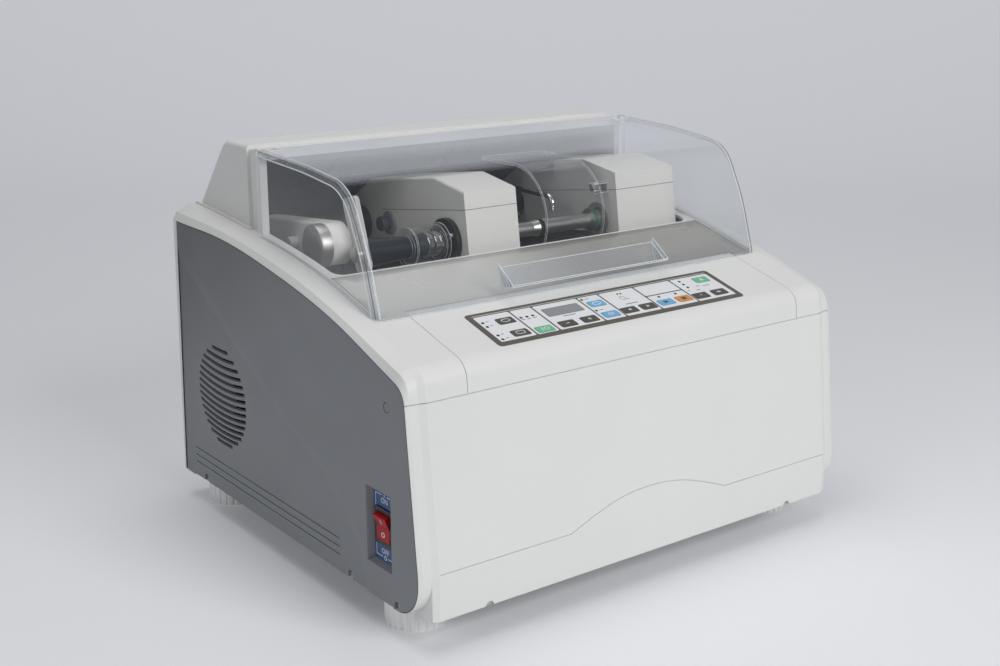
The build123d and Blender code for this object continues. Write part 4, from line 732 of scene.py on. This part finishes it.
# each key has its place on the film in mm, its colour, its ink and its sign
keys = {
    "key_shape_upper": ((-125, 9.1), key_taupe, pale_ink, ring((0, 0), 5.2, 2.9)),
    "key_shape_lower": (
        (-125, -14.6),
        key_taupe,
        pale_ink,
        [rounded_outline((0, 0), (10, 5.6), 1.6), rounded_outline((0, 0), (8.2, 3.8), 1)],
    ),
    "key_mode": (
        (-98.1, -16.7),
        key_green,
        pale_ink,
        [bar((-3.2, 0), (1.2, 5)), *ring((2, 0), 3.2, 2.6)],
    ),
    "key_minus": ((-69.7, -15.5), key_taupe, pale_ink, [bar((0, 0), (4.2, 0.9))]),
    "key_plus": (
        (-42.9, -15.5),
        key_taupe,
        pale_ink,
        [bar((0, 0), (4.4, 0.9)), bar((0, 1.35), (0.9, 1.7)), bar((0, -1.35), (0.9, 1.7))],
    ),
    "key_size_upper": ((-15.1, 8), key_blue, pale_ink, ring((0, 0), 5.4, 3.1, 1.1)),
    "key_size_lower": ((-15.1, -14.5), key_blue, pale_ink, ring((0, 0), 3.6, 2.1, 1.0)),
    "key_left": ((9.2, -14), key_taupe, pale_ink, [triangle((0, 0), -2, 2)]),
    "key_right": ((33.4, -14), key_taupe, pale_ink, [triangle((0, 0), 2, 2)]),
    "key_start": ((58.6, -13.3), key_blue, dark_ink, [triangle((0, 0), 3.4, 2.8)]),
    "key_stop": ((82.3, -13.3), key_orange, dark_ink, [bar((0, 0), (5.6, 4.8))]),
    "key_water": ((131.8, 14), key_green, pale_ink, [drop_outline((0, -0.9), 2, 4.2)]),
    "key_head_left": (
        (105.8, -14.2),
        key_taupe,
        pale_ink,
        [triangle((-0.6, 0), -2, 1.8), bar((2.6, 0), (2.4, 1.1))],
    ),
    "key_head_right": (
        (131.3, -14.2),
        key_taupe,
        pale_ink,
        [triangle((0.6, 0), 2, 1.8), bar((-2.6, 0), (2.4, 1.1))],
    ),
}
for key_name, (key_place, key_colour, sign_ink, sign) in keys.items():
    finish_nodes(key_colour, key_name)
    flat_piece(
        f"{key_name}_sign",
        keypad_plane(KEY_TOP + SIGN_THICK / 2 - PRINT_SUNK, *key_place),
        sign,
        SIGN_THICK,
        sign_ink,
        key_name,
    )

# each white field keeps clear of its keys
moat = (KEY_SIZE[0] + 2 * KEY_GAP, KEY_SIZE[1] + 2 * KEY_GAP)
for number, (left, right) in enumerate(FIELDS):
    bands = [(-FIELD_HALF, FIELD_HALF)]
    if number == SPLIT_FIELD:
        bands = [(-FIELD_HALF, SPLIT_GAP[0]), (SPLIT_GAP[1], FIELD_HALF)]
    outlines = []
    for low, high in bands:
        middle = ((left + right) / 2, (low + high) / 2)
        outlines.append(rounded_outline(middle, (right - left, high - low), FIELD_CORNER))
    for key_place, *_ in keys.values():
        if left < key_place[0] < right:
            outlines.append(rounded_outline(key_place, moat, MOAT_CORNER))
    field_rise = FILM_TOP + FIELD_THICK / 2 - PRINT_SUNK
    film_print(f"keypad_field_{number + 1}", field_rise, outlines, FIELD_THICK, field_white)

# each lamp shows as a dark dot with a printed rim
lamp_places = [(-149, v) for v in (12.2, 4.7, -12.2, -19.7)]
lamp_places += [(x, 8.9) for x in (-107, -100, -93.1)]
lamp_places += [(-25, 19), (-25, -4), (58.5, -2), (81, -2)]
lamp_places += [(104.5, v) for v in (17.8, 11.3, 4.7)]
lamp_rims = []
for lamp_place in lamp_places:
    for radius in LAMP_RIM:
        lamp_rims.append(round_outline(lamp_place, radius, radius, RIM_SIDES))
ink_rise = FILM_TOP + FIELD_THICK + INK_THICK / 2 - 2 * PRINT_SUNK
film_print("keypad_lamp_rims", ink_rise, lamp_rims, INK_THICK, dark_ink)

# short printed rules stand beside the lamps and under the display
rules = [bar((-143.5, v), (3.4, 0.7)) for v in (13.2, 5.6, -11.2, -18.8)]
rules += [bar((x, 5.2), (4.2, 0.8)) for x in (-107, -100, -93.1)]
rules += [bar((-57, -2.2), (15, 0.9)), bar((-19, 19), (5, 0.7)), bar((-19, -4), (5, 0.7))]
rules += [bar((21.4, -3.2), (16, 0.9)), bar((100, -1.6), (3, 0.8)), bar((112, -3.4), (6, 0.8))]
rules += [bar((128, 2.4), (9, 0.8)), bar((117.5, 3.6), (5, 0.8))]
rules += ring((19.2, 8.6), 3.2, 3.8, 0.5) + [bar((24.2, 6.2), (4.2, 0.6))]
film_print("keypad_rules", ink_rise, rules, INK_THICK, dark_ink)
top_rule_rise = FILM_TOP + INK_THICK / 2 - PRINT_SUNK
film_print("keypad_top_rule", top_rule_rise, [bar((-3, 25.6), (300, 0.7))], INK_THICK, pale_ink)
frame_outer = rounded_outline(DISPLAY_MIDDLE, (44.4, 14.9), 1.6)
frame_inner = rounded_outline(DISPLAY_MIDDLE, (42.1, 12.6), 1)
flat_piece(
    "display_frame",
    keypad_plane(FILM_TOP + FIELD_THICK + DISPLAY_FRAME_RISE),
    [frame_outer, frame_inner],
    DISPLAY_FRAME_THICK,
    display_grey,
    "cabinet",
)

# ---- connectors and fastenings ---------------------------------------------------------------
# The mains inlet and two hose spigots sit in a bay in the back panel. The side and back panels
# are held by plated pan-head screws, and the hood turns on two steel pins.

STREAKS = (400.0, 6.0, 6.0)
SHEEN_SPREAD = (0.06, 0.08)

connector_black = moulded("connector_black", (0.03, 0.03, 0.03), roughness=0.4)
spigot_white = moulded("spigot_white", (0.65, 0.65, 0.62), roughness=0.4)
finish_nodes(connector_black, "power_inlet")
finish_nodes(spigot_white, "hose_spigots")


def turned_metal(name, colour, roughness, streak=0.08):
    """Turned or ground metal: fine bright streaks round the axis and an uneven sheen."""
    material, parts, links, shader = plain_material(name)
    shader.inputs["Metallic"].default_value = 1.0
    place = parts.new("ShaderNodeTexCoord")
    stretch = parts.new("ShaderNodeMapping")
    stretch.inputs["Scale"].default_value = STREAKS
    links.new(place.outputs["Object"], stretch.inputs["Vector"])
    streaks = parts.new("ShaderNodeTexNoise")
    streaks.inputs["Scale"].default_value = 3.0
    streaks.inputs["Detail"].default_value = 3.0
    links.new(stretch.outputs["Vector"], streaks.inputs["Vector"])
    dark = [part * (1 - streak) for part in colour]
    light = [min(1.0, part * (1 + streak)) for part in colour]
    tone = two_tones(parts, links, streaks.outputs["Fac"], dark, light)
    links.new(tone, shader.inputs["Base Color"])
    bright = max(0.03, roughness - SHEEN_SPREAD[0])
    dull = roughness + SHEEN_SPREAD[1]
    sheen = rise_between(parts, links, streaks.outputs["Fac"], 0, 1, bright, dull)
    links.new(sheen, shader.inputs["Roughness"])
    return material


plated_steel = turned_metal("plated_steel", (0.55, 0.55, 0.56), roughness=0.3)
finish_nodes(plated_steel, "panel_screws", "hinge_pins")

# ---- grinding chamber ------------------------------------------------------------------------
# A moulded tub hangs in the cabinet under the hood, with a pale tray and a rear wall that is warm
# grey above a height and near black below it. A sheet lies on the deck in front of it, pale at its
# left and taupe under the head, where the taupe is partly its colour and partly painted shade of
# the head. Cast brackets carry the ground steel shafts, and a chrome nozzle brings the water.
# Places of tones are in metres.

TRAY_PALE = (0.36, 0.35, 0.32)
WALL_WARM = (0.13, 0.125, 0.11)
WALL_DARK = (0.010, 0.012, 0.017)
WALL_DARK_HEIGHT = (0.372, 0.400)
REAR_WALL_DEPTH = (0.09, 0.15)
APRON_PALE = (0.64, 0.63, 0.60)
APRON_TAUPE_AND_SHADE = (0.34, 0.33, 0.295)
APRON_FADE = (-0.09, 0.03)
APRON_FRONT = -133.0
APRON_REAR = -48.0
APRON_HALF = 238.0
APRON_LOWEST = 272.0
APRON_LEAST_UP = 0.6
APRON_LIFT = 0.25
APRON_THICK = 0.6

# the tub is pale at its front, and its rear wall is warm grey above a height and near black below
# it
tub_plastic, tub_nodes, tub_links, tub_shader = plain_material("tub_plastic")
cloudy(tub_nodes, tub_links, tub_shader, 0.3)
_, tub_depth, tub_height = place_along(tub_nodes, tub_links)
wall_dark_share = rise_between(tub_nodes, tub_links, tub_height, *WALL_DARK_HEIGHT)
rear_tone = two_tones(tub_nodes, tub_links, wall_dark_share, WALL_DARK, WALL_WARM)
tub_rear = rise_between(tub_nodes, tub_links, tub_depth, *REAR_WALL_DEPTH)
tub_tone = two_tones(tub_nodes, tub_links, tub_rear, TRAY_PALE, WALL_WARM)
tub_links.new(rear_tone, tub_tone.node.inputs["B"])
tub_links.new(tub_tone, tub_shader.inputs["Base Color"])
finish_nodes(tub_plastic, "chamber_tub")

# the sheet goes from pale at its left to taupe under the head: the taupe is partly its colour and
# partly painted shade of the head
apron_taupe_and_shade, apron_nodes, apron_links, apron_shader = plain_material("apron_taupe_and_shade")
cloudy(apron_nodes, apron_links, apron_shader, 0.3)
apron_across, _, _ = place_along(apron_nodes, apron_links)
apron_shade = rise_between(apron_nodes, apron_links, apron_across, *APRON_FADE)
apron_tone = two_tones(apron_nodes, apron_links, apron_shade, APRON_PALE, APRON_TAUPE_AND_SHADE)
apron_links.new(apron_tone, apron_shader.inputs["Base Color"])
# the sheet is cut to the slope of the cover that it lies on
apron_mesh = bmesh.new()
apron_mesh.from_mesh(nodes["top_cover"].data)
for cut_at, cut_away in (
    ((0, APRON_FRONT, 0), (0, -1, 0)),
    ((0, APRON_REAR, 0), (0, 1, 0)),
    ((-APRON_HALF, 0, 0), (-1, 0, 0)),
    ((APRON_HALF, 0, 0), (1, 0, 0)),
    ((0, 0, APRON_LOWEST), (0, 0, -1)),
):
    every_part = apron_mesh.verts[:] + apron_mesh.edges[:] + apron_mesh.faces[:]
    place = to_metres(cut_at)
    bmesh.ops.bisect_plane(
        apron_mesh, geom=every_part, plane_co=place, plane_no=cut_away, clear_outer=True
    )
apron_mesh.normal_update()
other_faces = [face for face in apron_mesh.faces if face.normal.z < APRON_LEAST_UP]
bmesh.ops.delete(apron_mesh, geom=other_faces, context="FACES")
bmesh.ops.remove_doubles(apron_mesh, verts=apron_mesh.verts, dist=1e-6)
for vertex in apron_mesh.verts:
    vertex.co.z += MM * APRON_LIFT
apron_shape = bpy.data.meshes.new("drip_apron")
apron_mesh.to_mesh(apron_shape)
apron_mesh.free()
apron_shape.materials.clear()
apron_shape.materials.append(apron_taupe_and_shade)
for face in apron_shape.polygons:
    face.material_index = 0
drip_apron = bpy.data.objects.new("drip_apron", apron_shape)
bpy.context.scene.collection.objects.link(drip_apron)
apron_wall = drip_apron.modifiers.new("sheet", "SOLIDIFY")
apron_wall.thickness = MM * APRON_THICK
apron_wall.offset = 1.0
attach(drip_apron, "cabinet")

cast_grey = moulded("cast_grey", (0.20, 0.20, 0.20), roughness=0.6, grain=0.4)
finish_nodes(cast_grey, "shaft_brackets", "spindle_housing")
ground_steel = turned_metal("ground_steel", (0.70, 0.69, 0.67), roughness=0.3)
finish_nodes(ground_steel, "pivot_shaft", "left_chuck_shaft", "right_chuck_shaft", "clamp_quill")
chrome = turned_metal("chrome", (0.82, 0.82, 0.82), roughness=0.07, streak=0.02)
finish_nodes(chrome, "water_nozzle")

# ---- carriage head ---------------------------------------------------------------------------
# Two painted castings with lids carry the lens between them, and a dark gasket closes each lid. A
# blue-grey cap, a knob, a chrome collar and bright screws are fixed to the left one. A clear guard
# hangs between the two to stop the spray, and its cut edges are polished; white beads along them
# are painted highlights.

HEAD_PITCH = math.radians(8.1)
HEAD_FOOT = (-31, 297)
LEFT_CASTING = (-66, 0)
RIGHT_CASTING = (138, 224)
SEAM_RISE = 48
SEAM_LONG = 160
GASKET_TALL = 0.45
GASKET_PROUD = 0.12
GASKET_DEEP = 0.5
SIDE_CAP_PLACE = (LEFT_CASTING[0], 118, 309.5)
CHUCK = (6, 307.5)
COLLARS = [(-98, 8.5), (-98, 12.2), (-97.5, 12.8), (-91.9, 12.8), (-91.4, 12.2), (-91.4, 10.6)]
COLLARS += [(-89.6, 10.6), (-89.6, 12.2), (-89.1, 12.8), (-84.6, 12.8), (-84.1, 12.2)]
COLLARS += [(-83.4, 12.2), (-82.9, 12.8), (-80.4, 12.8), (-80.2, 12.2), (-80.2, 8.5), (-98, 8.5)]
FLANGE_X = -72
SCREW_CIRCLE = 18.5
MIRROR_TINT = (0.93, 0.95, 0.97)
MIRROR_LEAST = 0.02
MIRROR_POWER = 4.0
HAZE_TINT = (0.62, 0.66, 0.72)

head_paint = moulded("head_paint", (0.83, 0.82, 0.79), roughness=0.38, grain=0.1)
finish_nodes(
    head_paint,
    "left_head_housing",
    "left_head_lid",
    "right_head_housing",
    "right_head_lid",
    "outboard_arm",
)
dark_turned = turned_metal("dark_turned", (0.10, 0.10, 0.11), roughness=0.3)
finish_nodes(dark_turned, "pivot_tube")
black_anodised = moulded("black_anodised", (0.012, 0.013, 0.016), roughness=0.28, grain=0.05)
finish_nodes(black_anodised, "bearing_flange")
sleeve_navy = moulded("sleeve_navy", (0.016, 0.020, 0.030), roughness=0.33, grain=0.1)
finish_nodes(sleeve_navy, "shaft_sleeve")
gauge_pale = moulded("gauge_pale", (0.56, 0.55, 0.51), roughness=0.3)
finish_nodes(gauge_pale, "gauge_plate")
brushed_cap = turned_metal("brushed_cap", (0.50, 0.49, 0.47), roughness=0.42, streak=0.12)
cap_blue_grey = moulded("cap_blue_grey", (0.085, 0.10, 0.125), roughness=0.3)
boss_grey = moulded("boss_grey", (0.33, 0.33, 0.32), roughness=0.35)
seal_black = moulded("seal_black", (0.02, 0.02, 0.02), roughness=0.55)


def head_point(x, v, w):
    """A point in mm given along the head: X, back along it and up from its foot."""
    y = HEAD_FOOT[0] + v * math.cos(HEAD_PITCH) + w * math.sin(HEAD_PITCH)
    z = HEAD_FOOT[1] - v * math.sin(HEAD_PITCH) + w * math.cos(HEAD_PITCH)
    return (x, y, z)


def lid_gasket(name, left, right):
    """A thin dark band round the front and the sides of a casting, at its lid's seam."""
    path = [(left, SEAM_LONG), (left, 0), (right, 0), (right, SEAM_LONG)]
    outward = [(-1, 0), (-1, -1), (1, -1), (1, 0)]
    points = []
    for (x, v), (aside, ahead) in zip(path, outward):
        for proud in (GASKET_PROUD, -GASKET_DEEP):
            for rise in (-GASKET_TALL / 2, GASKET_TALL / 2):
                place = (x + aside * proud, v + ahead * proud, SEAM_RISE + rise)
                points.append(to_metres(head_point(*place)))
    faces = [(0, 1, 3, 2), (12, 14, 15, 13)]
    for run in range(3):
        near, far = 4 * run, 4 * run + 4
        for first, second in ((0, 1), (1, 3), (3, 2), (2, 0)):
            faces.append((near + first, far + first, far + second, near + second))
    piece = mesh_piece(name, points, faces, seal_black)
    close_up(piece)
    attach(piece, "head")


lid_gasket("left_lid_gasket", *LEFT_CASTING)
lid_gasket("right_lid_gasket", *RIGHT_CASTING)

# the turned fittings: each profile gives distances along the axis and radii, in mm
turned_piece(
    "arm_end_cap",
    [(0, 10), (0, 22.2), (9.2, 22.2), (11.6, 21.4), (13, 19.4), (13.3, 17), (13.3, 0)],
    (-193.1, 45, 313),
    brushed_cap,
    "head",
    sides=72,
    towards=-1,
)
turned_piece(
    "side_cap_boss",
    [(0, 0), (0, 13), (2.4, 13), (3, 12.4), (3, 0)],
    SIDE_CAP_PLACE,
    boss_grey,
    "head",
    towards=-1,
)
turned_piece(
    "side_cap",
    [(2.8, 0), (2.8, 7.2), (5, 7.2), (5, 8.2), (13.2, 8.2), (14, 7.4), (14, 0)],
    SIDE_CAP_PLACE,
    cap_blue_grey,
    "head",
    towards=-1,
)
turned_piece(
    "guard_knob",
    [(0, 0), (0, 1.4), (2.4, 1.4), (2.4, 2.6), (4.8, 2.6), (5.2, 2.0), (5.2, 0)],
    (0, -21.5, 332),
    seal_black,
    "head",
    sides=24,
)
turned_piece("chuck_collars", COLLARS, (0, *CHUCK), chrome, "head", sides=64)
for number in range(3):
    turn = math.radians(-90 + 120 * number)
    screw_y = CHUCK[0] + SCREW_CIRCLE * math.cos(turn)
    screw_place = (FLANGE_X, screw_y, CHUCK[1] + SCREW_CIRCLE * math.sin(turn))
    turned_piece(
        f"flange_screw_{number + 1}",
        [(0, 3.7), (4.0, 3.7), (4.4, 3.3), (4.4, 1.9), (2.6, 1.7), (2.6, 0)],
        screw_place,
        chrome,
        "head",
        sides=24,
        towards=-1,
    )
turned_piece(
    "quill_seal",
    [(0, 13.6), (0, 19), (0.9, 19), (1.2, 18.6), (1.2, 16.6), (0.7, 16.4), (0.7, 13.6), (0, 13.6)],
    (RIGHT_CASTING[0], *CHUCK),
    boss_grey,
    "head",
    towards=-1,
)
seal_green = moulded("seal_green", (0.02, 0.13, 0.07), roughness=0.45)
turned_piece(
    "quill_green_ring",
    [(124.4, 12.3), (124.4, 12.75), (124.7, 12.95), (129.2, 12.95), (129.5, 12.75), (129.5, 12.3)],
    (0, *CHUCK),
    seal_green,
    "clamp_quill",
    sides=64,
)
turned_piece(
    "lens_pad_ring",
    [(50.2, 8.8), (50.2, 9.7), (50.5, 10.0), (53.0, 10.0), (53.3, 9.7), (53.3, 8.0), (53.05, 7.0)],
    (0, *CHUCK),
    seal_black,
    "left_chuck",
)


def clear_sheet(name, tint, haze, top_haze=None, heights=None):
    """Clear polished plastic. It lets the view straight through, mirrors the room more at low
    angles, and has a thin milky haze, which may become another haze between two heights."""
    material, parts, links, shader = plain_material(name)
    shader.inputs["Base Color"].default_value = (*MIRROR_TINT, 1)
    shader.inputs["Metallic"].default_value = 1.0
    shader.inputs["Roughness"].default_value = 0.045
    see = parts.new("ShaderNodeBsdfTransparent")
    see.inputs["Color"].default_value = (*tint, 1)
    milk = parts.new("ShaderNodeBsdfDiffuse")
    milk.inputs["Color"].default_value = (*HAZE_TINT, 1)
    if heights is not None:
        _, _, height = place_along(parts, links)
        haze = rise_between(parts, links, height, *heights, haze, top_haze)
    milky = mixed(parts, links, haze, see.outputs["BSDF"], milk.outputs["BSDF"])
    edge_on = parts.new("ShaderNodeLayerWeight")
    edge_on.inputs["Blend"].default_value = 0.5
    steep = reckoned(parts, links, "POWER", edge_on.outputs["Facing"], MIRROR_POWER)
    mirror_share = rise_between(parts, links, steep, 0, 1, MIRROR_LEAST, 1.0)
    surface = mixed(parts, links, mirror_share, milky, shader.outputs["BSDF"])
    links.new(surface, parts["Material Output"].inputs["Surface"])
    return material


# white beads along the edges of the clear sheets and the gauge plate are painted highlights of
# their polished edges
painted_edge_glint = moulded("painted_edge_glint", (0.80, 0.83, 0.86), roughness=0.15, grain=0.0, coat=0.5)
guard_clear = clear_sheet("guard_clear", (0.975, 0.98, 0.98), haze=0.015)
finish_nodes(guard_clear, "splash_guard", "sight_tube")
for edges_name, sheet, radius in (
    ("guard_edge_highlights", "splash_guard", 0.3),
    ("sight_tube_edge_highlights", "sight_tube", 0.22),
    ("gauge_edge_highlights", "gauge_plate", 0.45),
):
    beads(edges_name, sharp_lines(sheet), radius, painted_edge_glint, "head")

# ---- grinding wheels and their drive ---------------------------------------------------------
# Three bonded diamond wheels sit side by side on one ground steel spindle in the well. A rubber
# belt from the pulley of the painted motor drives it.

wheel_grit = moulded("wheel_grit", (0.24, 0.21, 0.17), roughness=0.8, grain=0.8, mottle=0.15)
finish_nodes(wheel_grit, "grinding_wheels")
finish_nodes(ground_steel, "wheel_spindle", "motor_pulley")
motor_paint = moulded("motor_paint", (0.05, 0.055, 0.06), roughness=0.4)
finish_nodes(motor_paint, "drive_motor")
belt_rubber = moulded("belt_rubber", (0.02, 0.02, 0.02), roughness=0.7)
finish_nodes(belt_rubber, "drive_belt")

# ---- cooling fan -----------------------------------------------------------------------------
# A square fan in black plastic stands behind the vent slots of the left side panel. Its rotor
# turns on a hub in the middle of its frame.

fan_black = moulded("fan_black", (0.02, 0.02, 0.02), roughness=0.4)
finish_nodes(fan_black, "fan_frame", "fan_rotor")

# ---- clear hood ------------------------------------------------------------------------------
# One moulding in clear polycarbonate, 3 mm thick, with polished edges. It turns up on its two
# pins. White beads along its cut edges and its rounded side edges are painted highlights, with a
# dark bead inside each side edge as a painted dark line, and its haze is thickest at the foot.

HOOD_LINE = [(92, 409.8), (-12, 404.6), (-87, 396.5), (-117.5, 336), (-135.4, 279), (-138.5, 265)]
HOOD_RADII = [400, 50, 200, 200]
HOOD_HALF = 244
HOOD_REAR_Y = 81.8
HOOD_TOE_Z = 280.0
HOOD_BEND_STEPS = 8
CUT_EDGE_RADIUS = 0.42
SIDE_EDGE_RADIUS = 0.6
SIDE_EDGE_INSETS = [(6.0, 0.2), (0.3, 6.0)]
INNER_EDGE_RADIUS = 0.4
INNER_EDGE_INSET = 1.9
BAND_INSETS = [(5.6, 1.0), (1.0, 5.6)]
LIP_WEB_X = 98.7
LIP_WEB = [(-124.8, 310.0), (-147.4, 293.4), (-131.8, 289.9)]
STREAK_SHARES = (0.3, 0.6, 0.85)
STREAK_RADIUS = 0.4


def hood_side_line(side, inset, inward):
    """One side's outline of the hood in metres, drawn in by an inset in mm and moved inward."""
    rows = []
    for (y0, z0), (y1, z1) in zip(HOOD_LINE, HOOD_LINE[1:]):
        run = Vector((y1 - y0, z1 - z0)).normalized()
        across = Vector((-run.y, run.x))
        rows.append((run, across, across.dot(Vector((y0, z0))) + inset))
    corners = []
    for (_, first, low), (_, second, high) in zip(rows, rows[1:]):
        turn = first.x * second.y - first.y * second.x
        corner_y = (low * second.y - high * first.y) / turn
        corners.append(Vector((corner_y, (first.x * high - second.x * low) / turn)))
    start = Vector(HOOD_LINE[0]) + inset * rows[0][1]
    end = Vector(HOOD_LINE[-1]) + inset * rows[-1][1]
    line = [start]
    for corner, radius, (before, *_), (after, *_) in zip(corners, HOOD_RADII, rows, rows[1:]):
        bend = before.angle(after)
        reach = (radius - inset) * math.tan(bend / 2)
        first_end = corner - before * reach
        last_end = corner + after * reach
        for step in range(HOOD_BEND_STEPS + 1):
            share = step / HOOD_BEND_STEPS
            near = first_end.lerp(corner, share)
            far = corner.lerp(last_end, share)
            line.append(near.lerp(far, share))
    line.append(end)
    kept = [point for point in line if point.x < HOOD_REAR_Y and point.y > HOOD_TOE_Z]
    rear_share = (start.x - HOOD_REAR_Y) / (start.x - kept[0].x)
    kept.insert(0, start.lerp(kept[0], rear_share))
    x = side * (HOOD_HALF - inward)
    return [to_metres((x, point.x, point.y)) for point in kept]


hood_clear = clear_sheet(
    "hood_clear", (0.994, 0.996, 0.998), haze=0.10, top_haze=0.018, heights=(0.285, 0.330)
)
finish_nodes(hood_clear, "visor")
# painted highlights along the hood's cut and rounded side edges, and a painted dark line inside
# each side edge
beads("hood_cut_edge_highlights", sharp_lines("visor"), CUT_EDGE_RADIUS, painted_edge_glint, "visor")
edge_shade = moulded("edge_shade", (0.07, 0.075, 0.085), roughness=0.3, grain=0.0)
side_lines = [hood_side_line(side, *inset) for side in (-1, 1) for inset in SIDE_EDGE_INSETS]
beads("hood_side_edge_highlights", side_lines, SIDE_EDGE_RADIUS, painted_edge_glint, "visor")
inner_lines = [hood_side_line(side, INNER_EDGE_INSET, INNER_EDGE_INSET) for side in (-1, 1)]
beads("hood_corner_dark_lines", inner_lines, INNER_EDGE_RADIUS, edge_shade, "visor")

# the wall is thick to look through at the rounded corners, so a milky band shows inside it
corner_milk = clear_sheet("corner_milk", (0.97, 0.98, 0.98), haze=0.30)
for side, side_name in SIDES:
    outer_run, inner_run = (hood_side_line(side, *inset) for inset in BAND_INSETS)
    count = min(len(outer_run), len(inner_run))
    band_points = outer_run[:count] + inner_run[:count]
    band_faces = [(step, step + 1, count + step + 1, count + step) for step in range(count - 1)]
    band_name = f"hood_{side_name}_corner_band"
    corner_band = mesh_piece(band_name, band_points, band_faces, corner_milk)
    attach(corner_band, "visor")

# white beads run down the pull lip's end webs as painted highlight streaks
lip_highlight_streaks = []
for side, side_name in SIDES:
    apex, tip, foot = (Vector(to_metres((side * LIP_WEB_X, *corner))) for corner in LIP_WEB)
    lip_highlight_streaks += [[apex, tip.lerp(foot, share)] for share in STREAK_SHARES]
    lip_web = mesh_piece(f"lip_{side_name}_web", [apex, tip, foot], [(0, 1, 2)], corner_milk)
    attach(lip_web, "visor")
beads("lip_highlight_streaks", lip_highlight_streaks, STREAK_RADIUS, painted_edge_glint, "visor")
